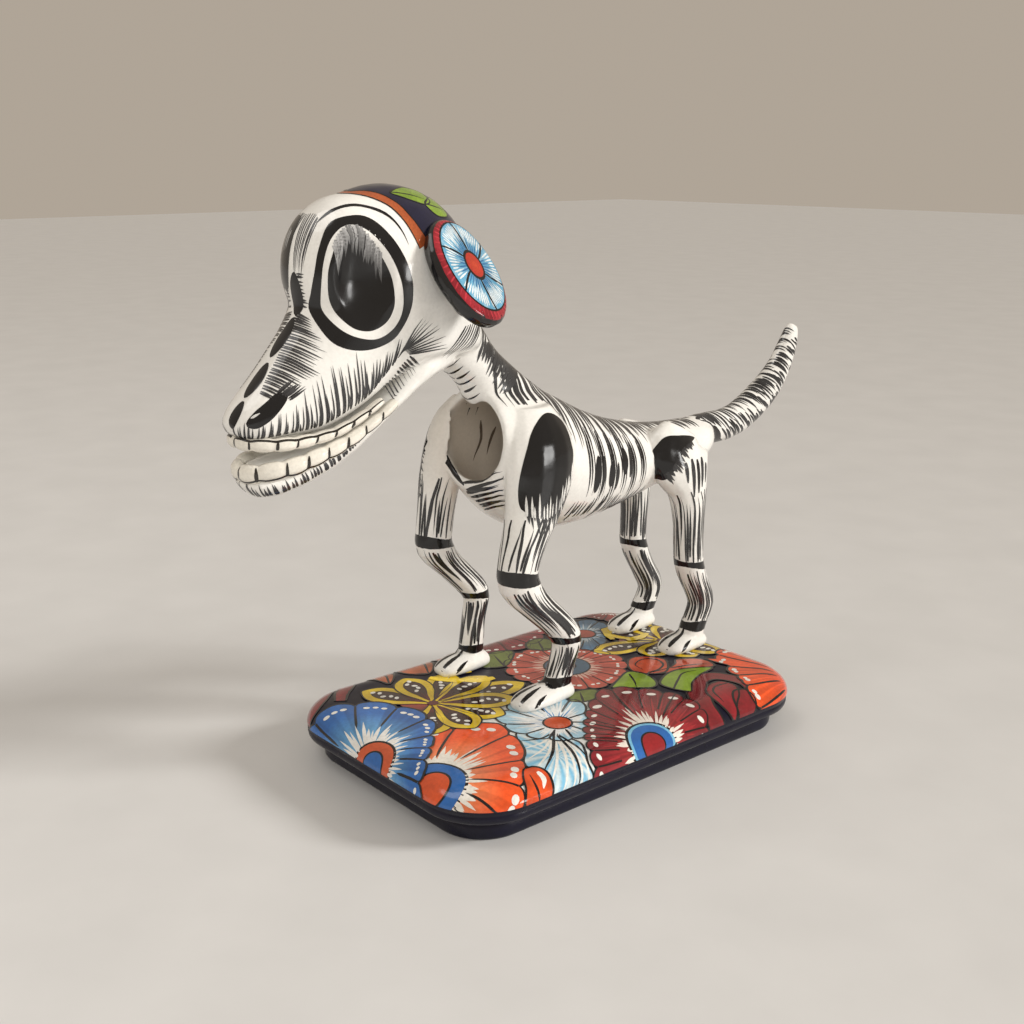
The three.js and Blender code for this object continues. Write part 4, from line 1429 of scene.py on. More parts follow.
def paint_neck():
    """Strokes from the nape down each side of the neck, and shorter ones up from the throat."""
    tube = Tube(["neck"], (0, -0.7, 0.71), 40, (0, 0.7, 0.7))
    brush = Brush(Body(tube.surface))
    low, high = tube.low + 2, tube.high - 3
    for i in range(NECK_STROKES):
        along = low + (high - low) * (i + RANDOM.uniform(-0.3, 0.3)) / NECK_STROKES
        for side in (1, -1):
            path = tube.line((along, side * RANDOM.uniform(-14, 14)),
                             (along + RANDOM.uniform(-7, -2), side * RANDOM.uniform(58, 98)))
            brush.stroke(path, RANDOM.uniform(1.4, 2.7), ink(), 1, blunt=0.6)
            if i % 2:
                path = tube.line((along, side * RANDOM.uniform(166, 186)),
                                 (along + 2, side * RANDOM.uniform(126, 148)), 4)
                brush.stroke(path, RANDOM.uniform(0.8, 1.5), ink(), 1, blunt=0.5)
    for side in (1, -1):
        brush.hatch(mirrored(NAPE, side), mirrored(NAPE_ENDS, side), 13, 2.2, spread=(0.7, 1.1), layer=2,
                    blunt=0.6)
    brush.piece("paint_neck", INK_GLAZE, "white_glaze")


def paint_tail():
    """Strokes across the tail, close together at its root and finer towards its white tip."""
    tube = Tube(["tail"], (0, 0.8, 0.6), 30, (0, -0.6, 0.8))
    brush = Brush(Body(tube.surface))
    low, high = tube.low + 1.5, tube.high - 6
    for i in range(TAIL_STROKES):
        share = (i + RANDOM.uniform(-0.2, 0.2)) / TAIL_STROKES
        along = low + (high - low) * share
        spin = RANDOM.uniform(0, 360)
        for part in range(3):
            start = spin + 120 * part + RANDOM.uniform(-20, 20)
            reach = RANDOM.uniform(70, 125)
            width = RANDOM.uniform(1.0, 2.0) * (2.2 if share < TAIL_ROOT else 1)
            path = tube.line((along - 1, start), (along + RANDOM.uniform(0, 2), start + reach))
            brush.stroke(path, width, ink(), 1, blunt=0.4, end_colour=THIN_INK)
    brush.piece("paint_tail", INK_GLAZE, "white_glaze")


CAVITY_MIDDLE = (MID, -14, 164)
CAVITY_HALF = (33, 45, 38)
SHADED_CLAY_REACH, SHADED_CLAY_FADE = 1.5, 0.5  # where the bare clay and its painted shade end and how long they fade, in halves of the cavity
SHADE_REACH, SHADE_FADE = 1.6, 0.6  # the same for the painted shade round it
THROAT, THROAT_FADE = -53, 16  # no bare clay or painted shade inside the chest shows further forward than this
RIGHT_EDGE, RIGHT_FADE = MID - 8, 12  # the painted shade round the opening lies to the right of this
# how strong the painted shade round the opening's right edge is, as a share of the chest's inside colour
RIGHT_SHADE = 0.5
# the pieces that get the chest's clay colour and painted shade
CLAY_AND_SHADE_PARTS = ("torso", "front_left_shoulder", "front_right_shoulder")


def clay_and_shade_share(points, normals):
    """How much of the chest's inside colour, bare clay with painted shade, shows at each point, from 0 to 1.
    """
    inward = np.array(CAVITY_MIDDLE) - points
    inward /= np.linalg.norm(inward, axis=1)[:, None]
    # Surfaces that face into the cavity get the clay colour darkened with painted shade.
    facing = np.clip((normals * inward).sum(axis=1) * 3, 0, 1)
    reach = np.linalg.norm((points - np.array(CAVITY_MIDDLE)) / np.array(CAVITY_HALF), axis=1)
    inside = np.clip((SHADED_CLAY_REACH - reach) / SHADED_CLAY_FADE, 0, 1)
    clay_with_shade = facing * inside * np.clip((points[:, 1] - THROAT) / THROAT_FADE, 0, 1)
    # Painted shade round the opening's right edge and on the right shoulder's inner side, except where the
    # surface faces the dog's right.
    right = np.clip((RIGHT_EDGE - points[:, 0]) / RIGHT_FADE, 0, 1) * np.clip(1 + 1.2 * normals[:, 0], 0, 1)
    return np.maximum(clay_with_shade, RIGHT_SHADE * np.clip((SHADE_REACH - reach) / SHADE_FADE, 0, 1) * right)


def tint_chest(name):
    """Bare, warm clay darkened with painted shade inside the open chest, and painted shade round its right
    edge.
    """
    mesh = skin_pieces[name].data
    points = (as_array(mesh.vertices, "co") - np.array(ORIGIN)) / MM
    share = clay_and_shade_share(points, as_array(mesh.vertex_normals, "vector"))
    set_paint(mesh, np.array(WHITE) + (np.array(CHEST_CLAY_AND_SHADE) - np.array(WHITE)) * share[:, None])


paint_legs()
paint_torso()
paint_neck()
paint_tail()
for chest_part in CLAY_AND_SHADE_PARTS:
    tint_chest(chest_part)

# ---------------------------------------------------------------- flowers on the base
# Places here are (u, v) on the unrolled plan of the base's top, in millimetres from its middle.

BLUE = (0.020, 0.130, 0.42)
PALE_BLUE = (0.19, 0.50, 0.72)
ORANGE = (0.78, 0.085, 0.012)
DEEP_RED = (0.20, 0.008, 0.014)
MAROON = (0.10, 0.010, 0.010)
CORAL = (0.50, 0.075, 0.045)
YELLOW = (0.84, 0.61, 0.02)
SEED_BROWN = (0.022, 0.012, 0.008)
OLIVE = (0.15, 0.20, 0.03)
DOT_WHITE = (0.85, 0.84, 0.78)
ORANGE_PALE = (0.82, 0.36, 0.16)
ORANGE_DEEP = (0.62, 0.05, 0.012)
EYE_ORANGE = (0.62, 0.10, 0.03)
EYE_RED = (0.70, 0.09, 0.02)
CREAM = (0.84, 0.80, 0.72)
YELLOW_DARK = (0.45, 0.28, 0.01)
DAISY_RED = (0.28, 0.04, 0.02)
GROUND_WHITE = (0.74, 0.76, 0.74)
FAN_PALE = (0.66, 0.78, 0.80)
PALE, PALE_EDGE = (0.82, 0.85, 0.85), (0.40, 0.64, 0.78)
SPIKE_PALE, SPIKE_BLUE = (0.84, 0.86, 0.85), (0.08, 0.28, 0.58)
RED_INSIDE, RED_SPIKE = (0.34, 0.03, 0.03), (0.34, 0.02, 0.025)
PINK_WHITE = (0.86, 0.78, 0.70)
DARK_RED = (0.30, 0.012, 0.016)
CARNATION_INSIDE, CARNATION_SPIKE = (0.26, 0.03, 0.028), (0.66, 0.42, 0.34)
NIGHT_BLUE, NIGHT = (0.045, 0.10, 0.16), (0.03, 0.045, 0.09)
SCROLL_REDS = [(0.22, 0.010, 0.016), (0.30, 0.010, 0.018), (0.24, 0.010, 0.016), (0.26, 0.012, 0.02),
               (0.24, 0.012, 0.018)]
TERRACOTTAS = [(0.62, 0.085, 0.03), (0.60, 0.08, 0.028), (0.50, 0.12, 0.04), (0.62, 0.15, 0.05),
               (0.52, 0.11, 0.04)]
LINE = 1.4  # the width of the dark outlines
FINE_LINE = 0.9
RIM_SIDES = 240
CORE_SIDES = 36
MARKS_A_PETAL = 7  # streaks of the brush
WHOLE_REACH = 48  # petals that reach less far out than this have smaller dots
ARC_STEPS = 16


def reach_round(core, edge):
    """How far out a flower's edge lies, as a function of the turn round its core."""
    away = np.array(edge, float) - np.array(core, float)
    turns = np.arctan2(away[:, 1], away[:, 0]) % (2 * math.pi)
    order = np.argsort(turns)
    reaches = np.linalg.norm(away, axis=1)[order]
    turns = turns[order]
    return lambda turn: float(np.interp(turn % (2 * math.pi), turns, reaches, period=2 * math.pi))


class Flower:
    """A flower of equal petals round a core, whose edge follows the given points."""

    def __init__(self, brush, core, edge, petals, phase, scallop, layer):
        self.brush, self.core, self.layer = brush, core, layer
        self.reach = reach_round(core, edge)
        self.petals, self.phase, self.scallop = petals, phase, scallop

    def notch(self, petal):
        return self.phase + 2 * math.pi * petal / self.petals

    def edge_reach(self, turn):
        within = ((turn - self.phase) / (2 * math.pi) * self.petals) % 1 * 2 - 1
        return self.reach(turn) * (1 - self.scallop * (1 - math.sqrt(max(0, 1 - within ** 2))))

    def spot(self, reach, turn):
        return (self.core[0] + reach * math.cos(turn), self.core[1] + reach * math.sin(turn), 0)

    def place(self, share, turn):
        """share of the way from the core to the petals' edge."""
        return self.spot(self.edge_reach(turn) * share, turn)

    def body(self, inner, outer, streak=0.25):
        """The petals, from the inner colour near the core to the outer one, streaked by the brush."""
        marks = [RANDOM.uniform(-streak, streak) for _ in range(self.petals * MARKS_A_PETAL)]
        rim = [self.place(1, turn) for turn in even_turns(RIM_SIDES)]

        def colour(out, turn):
            shade = mixed(inner, outer, min(1, max(0, (out - 0.1) * 1.5)))
            return tuple(c * (1 + marks[int(turn * len(marks)) % len(marks)]) for c in shade)

        self.brush.patch(rim, colour, self.layer, centre=(*self.core, 0))

    def lines(self, start, width=LINE, bend=0.12):
        """The petals' outline and the dark lines between them."""
        for petal in range(self.petals):
            first, last = self.notch(petal), self.notch(petal + 1)
            arc = [self.place(1, first + (last - first) * i / ARC_STEPS) for i in range(1, ARC_STEPS)]
            self.brush.stroke([self.place(1, first + 0.001), *arc, self.place(1, last - 0.001)],
                              width, BLACK, self.layer + 2, blunt=0.7, tip=0.6)
            line = [self.spot(self.edge_reach(first) * s, first + bend * (1 - s))
                    for s in (start, 0.6, 0.85, 1)]
            self.brush.stroke(line, width, BLACK, self.layer + 2, blunt=0.15, tip=0.9)

    def spikes(self, start, shares, count, width, colour=WHITE):
        """Ragged strokes out from the core's ring."""
        for i in range(count):
            turn = 2 * math.pi * (i + RANDOM.uniform(-0.3, 0.3)) / count
            end = self.reach(turn) * RANDOM.uniform(*shares)
            self.brush.stroke([self.spot(start, turn), self.spot(end, turn + RANDOM.uniform(-0.03, 0.03))],
                              width * RANDOM.uniform(0.7, 1.3), colour, self.layer + 1, blunt=0.9, tip=0)

    def dots(self, shares, radius, out=0.87, stretch=1.35):
        """White touches along each petal's edge."""
        for petal in range(self.petals):
            for share in shares:
                turn = self.notch(petal + share)
                size = radius * RANDOM.uniform(0.8, 1.1) * min(1, self.reach(turn) / WHOLE_REACH)
                self.brush.dot(self.place(out, turn), size, DOT_WHITE, self.layer + 2, stretch,
                               turn + math.pi / 2)

    def eye(self, rings):
        """The core: discs from the widest in, each a radius and a colour, in dark outline."""
        for i, (radius, colour) in enumerate(rings):
            disc = [self.spot(radius, turn) for turn in even_turns(CORE_SIDES)]
            self.brush.patch(disc, colour, self.layer + 3 + i, smooth=False)


# Half of a seed petal's outline: the share of its length and the share of its half width there.
PETAL_SHAPE = [(0, 0.12), (0.18, 0.38), (0.42, 0.82), (0.66, 1), (0.86, 0.8), (1, 0.18)]
SEED_DOTS = 5


class SeedPetal:
    """A yellow petal with a dark, dotted inside."""

    def __init__(self, root, tip, wide):
        self.root = Vector((*root, 0))
        self.run = Vector((*tip, 0)) - self.root
        self.across = Vector((-self.run.y, self.run.x, 0)).normalized() * wide / 2

    def outline(self, start, end, narrow):
        """The petal's shape from one share of its length to another, narrowed."""
        left = [(s, w, narrow) for s, w in PETAL_SHAPE]
        right = [(s, w, -narrow) for s, w in reversed(PETAL_SHAPE)]
        return [tuple(self.root + self.run * (start + (end - start) * s) + self.across * w * n)
                for s, w, n in left + right]

    def paint(self, brush, layer):
        whole, inside = self.outline(0, 1, 1), self.outline(0.18, 0.87, 0.5)
        brush.patch(whole, lambda _, turn: mixed(YELLOW, YELLOW_DARK, 0.5 * abs(math.sin(turn * 12))),
                    layer)
        brush.outline(whole, 0.9, BLACK, layer + 1)
        brush.patch(inside, lambda out, _: mixed(SEED_BROWN, MAROON, 0.35 * out), layer + 1)
        brush.outline(inside, 0.7, BLACK, layer + 2)
        for i in range(SEED_DOTS):
            share = 0.5 + 0.36 * i / (SEED_DOTS - 1)
            place = self.root + self.run * share + self.across * RANDOM.uniform(-0.22, 0.22)
            brush.dot(tuple(place), 1.25, DOT_WHITE, layer + 3, 1.4, RANDOM.uniform(0, 3))
        start = self.root + self.run * 0.1
        for offset in (-0.3, 0.0, 0.3):
            end = self.root + self.run * RANDOM.uniform(0.35, 0.5) + self.across * offset
            brush.stroke([tuple(start), tuple(end)], 1.1, MAROON, layer + 2, blunt=0.6, tip=0)


LEAF_VEINS = [[(17, 43), (26, 38), (34, 32)], [(48, 47), (41, 58), (36, 68), (39, 80)]]


def shaded(colour, share):
    return tuple(c * share for c in colour)


def leaf(brush, points, layer, colour=LEAF_GREEN, vein=None):
    """A leaf with a dark outline and a vein, by default from its first point to the far side."""
    outline = flat(points)
    dark = shaded(colour, 0.4)
    brush.patch(outline, lambda out, turn: mixed(colour, dark, 0.6 * abs(math.sin(turn * 11)) * out), layer)
    brush.outline(outline, LINE, BLACK, layer + 1)
    if vein is None:
        root, tip = Vector(outline[0]), Vector(outline[len(outline) // 2])
        vein = [(p.x, p.y) for p in (root, root + (tip - root) * 0.45, root + (tip - root) * 0.85)]
    brush.stroke(flat(vein), 1.3, BLACK, layer + 1, blunt=0.8, tip=0)


def blossom(brush, points, colour, layer, lines=()):
    """A single rounded petal or scroll, darker towards its edge."""
    outline = flat(points)
    dark = shaded(colour, 0.6)
    brush.patch(outline, lambda out, turn: mixed(colour, dark, out * (0.6 + 0.4 * math.sin(turn * 31))),
                layer)
    brush.outline(outline, LINE, BLACK, layer + 1)
    for line in lines:
        brush.stroke(flat(line), LINE, BLACK, layer + 1, blunt=0.5, tip=0.2)


def blue_flower(brush):
    edge = [(-64, -136), (-58, -127), (-55, -116), (-53, -106), (-49, -98), (-42, -90), (-34, -84),
            (-24, -81), (-12, -79), (-1, -82), (8, -89), (17, -97), (28, -108), (38, -118), (46, -128),
            (40, -150), (-30, -150)]
    flower = Flower(brush, (4, -129), edge, 15, 0.14, 0.1, 24)
    flower.body(PALE_BLUE, BLUE)
    flower.spikes(13, (0.42, 0.62), 58, 1.7)
    flower.lines(0.55)
    flower.dots((0.3, 0.52, 0.74), 1.35)
    flower.eye([(15, BLACK), (13.6, EYE_ORANGE), (8.2, BLACK), (7.2, BLUE)])


def orange_flower(brush):
    """A fan of orange petals, cut off on one side by the blue flower."""
    edge = [(3, -92), (9, -76), (14, -64), (21, -57), (31, -57), (39, -60), (49, -65), (58, -70), (66, -77),
            (73, -84), (80, -89), (90, -96), (96, -112), (90, -134), (66, -146), (40, -150), (12, -132),
            (4, -108)]
    flower = Flower(brush, (49, -123), edge, 13, 0.35, 0.08, 11)
    flower.body(ORANGE_PALE, ORANGE)
    flower.spikes(17, (0.42, 0.62), 60, 2.6, CREAM)
    flower.lines(0.42, bend=0.16)
    flower.dots((0.36, 0.62), 1.9, 0.88)
    flower.eye([(18.5, BLACK), (17, BLUE), (10.4, BLACK), (9.2, EYE_RED)])
    blossom(brush, [(69, -81), (70, -76), (74, -73), (80, -73), (90, -77), (96, -86), (88, -93), (80, -89),
                    (74, -86)], ORANGE, 17, lines=[[(88, -84), (79, -83), (74, -82)]])
    brush.stroke(flat([(74, -77), (79, -77), (83, -80)]), 2.8, DOT_WHITE, 19, tip=0.2)


DAISY_HEART = 0.62  # how far out the maroon middle reaches, as a share of the petals


def yellow_daisy(brush, core, tips, wide, layer):
    """Seed petals from one core, over a maroon middle."""
    heart = [(core[0] + DAISY_HEART * (x - core[0]), core[1] + DAISY_HEART * (y - core[1]))
             for x, y in tips]
    brush.patch(flat(heart), lambda _, turn: mixed(MAROON, DAISY_RED, abs(math.sin(turn * 23))), layer - 1,
                centre=(*core, 0))
    for i, tip in enumerate(tips):
        SeedPetal(core, tip, wide).paint(brush, layer + (i % 2) * 3)
    brush.dot((*core, 0), 3.2, MAROON, layer + 7)


LIGHT_GROUND = [(0, -48), (3, -18), (12, -3), (28, 1), (40, -8), (52, -22), (66, -36), (82, -46), (98, -48),
                (98, -80), (80, -92), (60, -74), (40, -62), (20, -62), (8, -70)]
FAN = [(40, -40), (52, -42), (64, -40), (73, -44), (80, -48), (94, -50), (96, -74), (84, -80), (76, -76),
       (66, -78), (56, -70), (46, -64), (36, -58), (34, -48)]
FAN_ROOT = (47, -42)
FAN_BOW = 3
FAN_PALE_RIBS = [(90, -52), (92, -58), (92, -64), (90, -70), (84, -76), (72, -76), (62, -72), (52, -66),
                 (42, -58)]
FAN_DARK_RIBS = [(76, -75), (92, -60), (44, -62), (76, -46)]


def fan_rib(brush, end, width, colour, layer, blunt, tip):
    middle = ((FAN_ROOT[0] + end[0]) / 2 + FAN_BOW, (FAN_ROOT[1] + end[1]) / 2)
    brush.stroke(flat([FAN_ROOT, middle, end]), width, colour, layer, blunt=blunt, tip=tip)


def light_flower(brush):
    """The small pale flower under the front paw, and the ribbed fan beside it, on a white ground."""
    brush.patch(flat(LIGHT_GROUND), GROUND_WHITE, 4)
    brush.patch(flat(FAN), lambda _, turn: mixed(FAN_PALE, PALE_BLUE, 0.5 + 0.5 * math.sin(turn * 97)), 5)
    for end in FAN_PALE_RIBS:
        fan_rib(brush, end, 1.6, DOT_WHITE, 6, 0.5, 0.4)
    for end in FAN_DARK_RIBS:
        fan_rib(brush, end, 1.7, BLACK, 7, 1, 0.2)
    brush.outline(flat(FAN), LINE, BLACK, 7)
    edge = [(8, -44), (14, -54), (26, -58), (38, -57), (50, -52), (60, -42), (62, -32), (56, -28),
            (48, -20), (40, -12), (32, -6), (22, -4), (12, -8), (4, -18), (2, -32)]
    flower = Flower(brush, (40, -33), edge, 10, 0.3, 0.14, 8)
    flower.body(PALE, PALE_EDGE, 0.18)
    flower.spikes(8, (0.6, 0.95), 70, 1.3, SPIKE_PALE)
    flower.spikes(8, (0.3, 0.6), 34, 1.1, SPIKE_BLUE)
    flower.lines(0.45)
    flower.eye([(8.2, BLACK), (7.0, (0.62, 0.10, 0.035))])


def red_flower(brush):
    edge = [(92, -49), (85, -48), (76, -44), (68, -39), (60, -33), (51, -25), (44, -17), (36, -8), (30, 0),
            (25, 9), (22, 17), (27, 26), (35, 33), (44, 39), (54, 43), (65, 43), (75, 42), (83, 38),
            (92, 36), (110, -4)]
    flower = Flower(brush, (84, -4), edge, 26, 0.1, 0.09, 12)
    flower.body(RED_INSIDE, DEEP_RED, 0.35)
    flower.spikes(15, (0.36, 0.6), 64, 1.7, PINK_WHITE)
    flower.spikes(24, (0.6, 0.85), 50, 1.1, RED_SPIKE)
    flower.lines(0.86, FINE_LINE)
    flower.dots((0.5,), 1.75, 0.87, 1.6)
    flower.eye([(16.5, BLACK), (15, PALE_BLUE), (13.4, BLUE), (8.2, BLACK), (7.2, DARK_RED)])
    for turn in (2.15, 2.75, 3.6, 4.1):
        line = [flower.spot(flower.reach(turn) * s, turn + 0.1 * (1 - s)) for s in (0.42, 0.7, 1)]
        brush.stroke(line, 1.1, BLACK, 15, blunt=0.3, tip=0.5)


def carnation(brush):
    edge = [(22, 23), (20, 33), (15, 43), (9, 50), (0, 57), (-12, 59), (-22, 54), (-33, 45), (-42, 35),
            (-49, 24), (-51, 13), (-46, 3), (-37, -5), (-26, -11), (-14, -10), (-2, -5), (10, 2), (18, 10)]
    flower = Flower(brush, (-15, 24), edge, 17, 0.0, 0.1, 6)
    flower.body(CARNATION_INSIDE, CORAL, 0.3)
    flower.spikes(13, (0.45, 0.66), 46, 1.5, CARNATION_SPIKE)
    flower.lines(0.6, FINE_LINE)
    flower.dots((0.35, 0.65), 1.5, 0.84)
    flower.eye([(14, BLACK), (13, NIGHT_BLUE), (5.6, BLACK), (4.8, NIGHT)])


SCROLL_PLACES = 40
SCROLL_MARKS = 8


def scroll(brush, path, wide, colour, layer):
    """A broad curling stroke with a dark outline; wide lists its width along the way."""
    line = curve(flat(path), SCROLL_PLACES)
    widths = np.interp(np.linspace(0, 1, SCROLL_PLACES), np.linspace(0, 1, len(wide)), wide)
    step = np.gradient(line, axis=0)
    across = np.stack([-step[:, 1], step[:, 0], 0 * step[:, 0]], axis=1)
    across /= np.linalg.norm(across, axis=1)[:, None]
    left = [Vector(p) for p in line + across * widths[:, None] / 2]
    right = [Vector(p) for p in line - across * widths[:, None] / 2]
    marks = [RANDOM.uniform(0.75, 1.1) for _ in range(SCROLL_MARKS + 1)]
    brush.band(left, right, lambda along, side: shaded(colour, marks[int(side * SCROLL_MARKS)]), layer)
    for side in (left, right):
        brush.stroke([tuple(p) for p in side[::3]], LINE, BLACK, layer + 1, blunt=0.8, tip=0.8)


def back_left(brush):
    """The scrolls, leaves and blossom round the rear corner on the dog's left."""
    edge = [(28, 94), (34, 98), (43, 96), (50, 90), (58, 87), (65, 85), (72, 79), (79, 77), (85, 76),
            (92, 78), (104, 96), (100, 130), (70, 140), (30, 132), (24, 118), (26, 104)]
    flower = Flower(brush, (74, 122), edge, 17, 0.2, 0.09, 12)
    flower.body(ORANGE_DEEP, ORANGE, 0.3)
    flower.lines(0.35, bend=0.2)
    flower.dots((0.4, 0.62), 1.7, 0.9)
    scroll(brush, [(90, 44), (80, 43), (72, 45), (62, 52), (53, 60), (48, 69), (50, 78), (58, 83), (68, 84),
                   (76, 80)], [12, 12, 12, 13, 12, 11, 10, 9, 8, 5], SCROLL_REDS[0], 7)
    blossom(brush, [(57, 74), (57, 66), (62, 58), (70, 54), (80, 54), (88, 58), (80, 64), (74, 72),
                    (66, 77)], SCROLL_REDS[1], 10, lines=[[(62, 76), (61, 67), (66, 60), (76, 57)]])
    blossom(brush, [(72, 77), (71, 71), (76, 65), (84, 62), (94, 62), (90, 72), (84, 77), (78, 79)],
            SCROLL_REDS[2], 11)
    blossom(brush, [(6, 53), (1, 59), (1, 66), (6, 72), (15, 75), (23, 69), (28, 61), (24, 52), (15, 48)],
            TERRACOTTAS[0], 8, lines=[[(22, 53), (23, 61), (19, 69), (11, 71), (6, 65), (9, 56), (17, 54)]])
    blossom(brush, [(23, 51), (28, 58), (33, 70), (37, 81), (40, 90), (32, 93), (24, 89), (19, 80),
                    (23, 75), (25, 66)], TERRACOTTAS[1], 7, lines=[[(26, 68), (30, 80), (35, 89)]])
    leaf(brush, [(24, 22), (18, 34), (14, 45), (21, 50), (30, 49), (37, 45), (39, 39), (32, 30)], 9,
         vein=LEAF_VEINS[0])
    leaf(brush, [(57, 51), (49, 47), (39, 46), (33, 54), (30, 64), (32, 74), (41, 87), (44, 73), (49, 61)],
         10, vein=LEAF_VEINS[1])
    leaf(brush, [(29, -4), (23, -9), (16, -4), (16, 5), (21, 13), (29, 7)], 9, OLIVE)


FAR_LEAVES = [
    [(-60, -70), (-68, -72), (-80, -72), (-90, -66), (-82, -60), (-70, -60)],
    [(-58, -44), (-66, -54), (-78, -54), (-90, -44), (-84, -32), (-70, -32)],
    [(-56, -24), (-66, -28), (-80, -26), (-90, -16), (-80, -8), (-66, -12)],
]


def far_flowers(brush):
    """The three flowers that show only in part along the edge on the dog's right."""
    edge = [(-64, -6), (-58, 4), (-54, 16), (-52, 28), (-58, 44), (-66, 56), (-78, 62), (-96, 58),
            (-100, 20), (-90, -6), (-76, -12)]
    far = Flower(brush, (-92, 24), edge, 13, 0.2, 0.1, 5)
    far.body((0.16, 0.012, 0.02), (0.24, 0.018, 0.03), 0.3)
    far.lines(0.5, FINE_LINE)
    far.dots((0.35, 0.65), 1.5, 0.86)
    edge = [(-24, 52), (-28, 47), (-38, 44), (-50, 46), (-60, 54), (-68, 66), (-68, 80), (-62, 90),
            (-53, 91), (-44, 86), (-34, 74), (-26, 62)]
    side = Flower(brush, (-47, 68), edge, 11, 0.3, 0.1, 6)
    side.body((0.30, 0.42, 0.50), (0.06, 0.16, 0.28), 0.3)
    side.spikes(8, (0.5, 0.85), 34, 1.2, (0.50, 0.60, 0.66))
    side.lines(0.4, FINE_LINE)
    side.eye([(7.4, BLACK), (6.4, (0.30, 0.05, 0.03))])
    edge = [(-64, 92), (-56, 94), (-46, 98), (-40, 108), (-40, 122), (-50, 138), (-80, 140), (-96, 124),
            (-94, 96), (-80, 84)]
    rear = Flower(brush, (-70, 112), edge, 11, 0.2, 0.1, 6)
    rear.body((0.42, 0.06, 0.03), (0.16, 0.010, 0.016), 0.3)
    rear.spikes(8, (0.4, 0.65), 36, 1.4)
    rear.lines(0.5, FINE_LINE)
    rear.dots((0.35, 0.65), 1.4)
    rear.eye([(8.4, BLACK), (7.4, ORANGE), (3.6, BLACK), (3, BLUE)])


def corners(brush):
    """Patches of colour along the far edge and in the corners that the great flowers leave."""
    scroll(brush, [(-66, -134), (-68, -122), (-72, -112), (-78, -100)], [16, 18, 15, 8], SCROLL_REDS[3], 5)
    scroll(brush, [(-58, -104), (-66, -98), (-76, -88), (-90, -80)], [6, 8, 9, 7], SCROLL_REDS[4], 5)
    for shape, colour in zip(FAR_LEAVES, TERRACOTTAS[2:]):
        blossom(brush, shape, colour, 5, lines=[[shape[0], shape[-2], shape[3]]])
    leaf(brush, [(-38, -4), (-44, -14), (-54, -10), (-60, 4), (-54, 15), (-45, 8)], 7, OLIVE)
    leaf(brush, [(-42, 30), (-50, 25), (-58, 30), (-60, 40), (-52, 45), (-42, 38)], 7, OLIVE)
    far_flowers(brush)


YELLOW_TOUCHES = [[(-52, -48), (-45, -44), (-38, -38), (-34, -30)], [(-47, -45), (-48, -34), (-44, -24)],
                  [(-28, -20), (-31, -30), (-40, -38)], [(-45, 90), (-38, 79), (-28, 74)],
                  [(-22, 80), (-20, 90), (-22, 98)]]


def yellow_touches(brush):
    """Broad yellow marks on the base round two of the paws."""
    for path in YELLOW_TOUCHES:
        brush.stroke(flat(path), 5.5, varied(YELLOW, 0.15), 20, blunt=0.6, tip=0.5)


FRONT_DAISY = [(-60, -88), (-60, -60), (-50, -36), (-33, -22), (-12, -12), (2, -30), (14, -48), (17, -70),
               (9, -91)]
REAR_DAISY = [(-21, 52), (-46, 82), (-40, 106), (-26, 121), (6, 122), (28, 111), (23, 92), (5, 72)]


def paint_base():
    brush = Brush(Plan())
    corners(brush)
    carnation(brush)
    back_left(brush)
    yellow_daisy(brush, (-8, 96), REAR_DAISY, 20, 8)
    yellow_daisy(brush, (-22, -68), FRONT_DAISY, 21, 14)
    yellow_touches(brush)
    light_flower(brush)
    blue_flower(brush)
    orange_flower(brush)
    red_flower(brush)
    brush.piece("paint_base", BASE_GLAZE, "painted_glaze")


paint_base()

# ---------------------------------------------------------------- camera, floor and lights

CAMERA_AT = (510.3, -461.7, 316.8)
CAMERA_LOOKS_AT = (-33.92, -1.84, 120.93)
LENS = 46.27
SENSOR = 36


def camera():
    data = bpy.data.cameras.new("camera")
    data.lens = LENS
    data.sensor_width = SENSOR
    made = bpy.data.objects.new("camera", data)
    made.location = at(*CAMERA_AT)
    made.rotation_mode = "QUATERNION"
    made.rotation_quaternion = (at(*CAMERA_LOOKS_AT) - at(*CAMERA_AT)).to_track_quat("-Z", "Y")
    bpy.context.scene.collection.objects.link(made)
    bpy.context.scene.camera = made


FLOOR_HALF = 6.0
FLOOR_ROUGHNESS = 0.45
FLOOR_MOTTLE = 60
FLOOR_DARK, FLOOR_LIGHT = (0.60, 0.60, 0.595), (0.635, 0.635, 0.63)


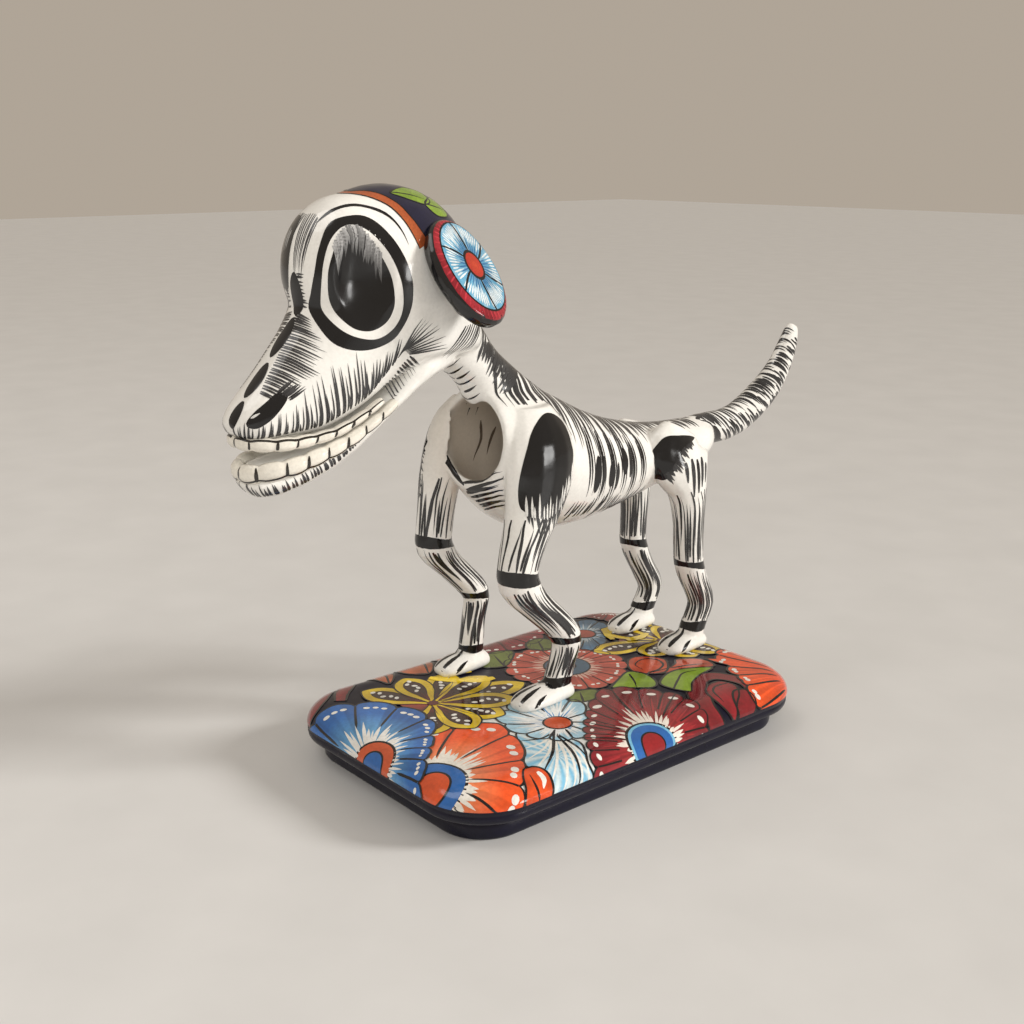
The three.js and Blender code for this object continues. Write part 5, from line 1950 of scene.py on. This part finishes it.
def floor():
    low = at(0, 0, TABLE).z
    corners = [(x * FLOOR_HALF, y * FLOOR_HALF, low) for x, y in ((-1, -1), (1, -1), (1, 1), (-1, 1))]
    made = mesh_object("floor", corners, [(0, 1, 2, 3)])
    pale, shader = material("floor", FLOOR_ROUGHNESS)
    colour = ramp(pale, noise(pale, FLOOR_MOTTLE).outputs["Fac"], FLOOR_DARK, FLOOR_LIGHT)
    pale.node_tree.links.new(colour.outputs["Color"], shader.inputs["Base Color"])
    made.data.materials.append(pale)


# Lamps as (name, kind, place, a disk's width or a sun's angle in degrees, power, colour, seen in the glaze).
LAMPS = [
    ("key", "SUN", (1.1, 1.15, 0.85), 13, 2.9, (1.0, 0.97, 0.93), False),
    ("fill", "AREA", (1.3, -1.3, 0.9), 1.0, 13, (1.0, 0.98, 0.96), False),
    ("window", "AREA", (1.75, 0.8, 0.36), 0.4, 4, (1.0, 0.99, 0.97), True),
    ("top", "AREA", (-0.5, -0.9, 1.8), 1.2, 7, (1.0, 0.99, 0.98), True),
]
LAMPS_LOOK_AT = (MID, -40, 120)
SKY = (0.60, 0.52, 0.43, 1)
SKY_STRENGTH = 0.72


def lamp(name, kind, place, size, power, colour, glossy):
    data = bpy.data.lights.new(name, kind)
    if kind == "SUN":
        data.angle = math.radians(size)
    else:
        data.shape = "DISK"
        data.size = size
    data.energy = power
    data.color = colour
    made = bpy.data.objects.new(name, data)
    made.location = place
    made.rotation_mode = "QUATERNION"
    made.rotation_quaternion = (at(*LAMPS_LOOK_AT) - Vector(place)).to_track_quat("-Z", "Y")
    made.visible_glossy = glossy
    bpy.context.scene.collection.objects.link(made)


def lights():
    for settings in LAMPS:
        lamp(*settings)
    world = bpy.data.worlds.new("studio")
    world.use_nodes = True
    world.node_tree.nodes["Background"].inputs["Color"].default_value = SKY
    world.node_tree.nodes["Background"].inputs["Strength"].default_value = SKY_STRENGTH
    bpy.context.scene.world = world
    bpy.context.scene.view_settings.view_transform = "Standard"


camera()
floor()
lights()
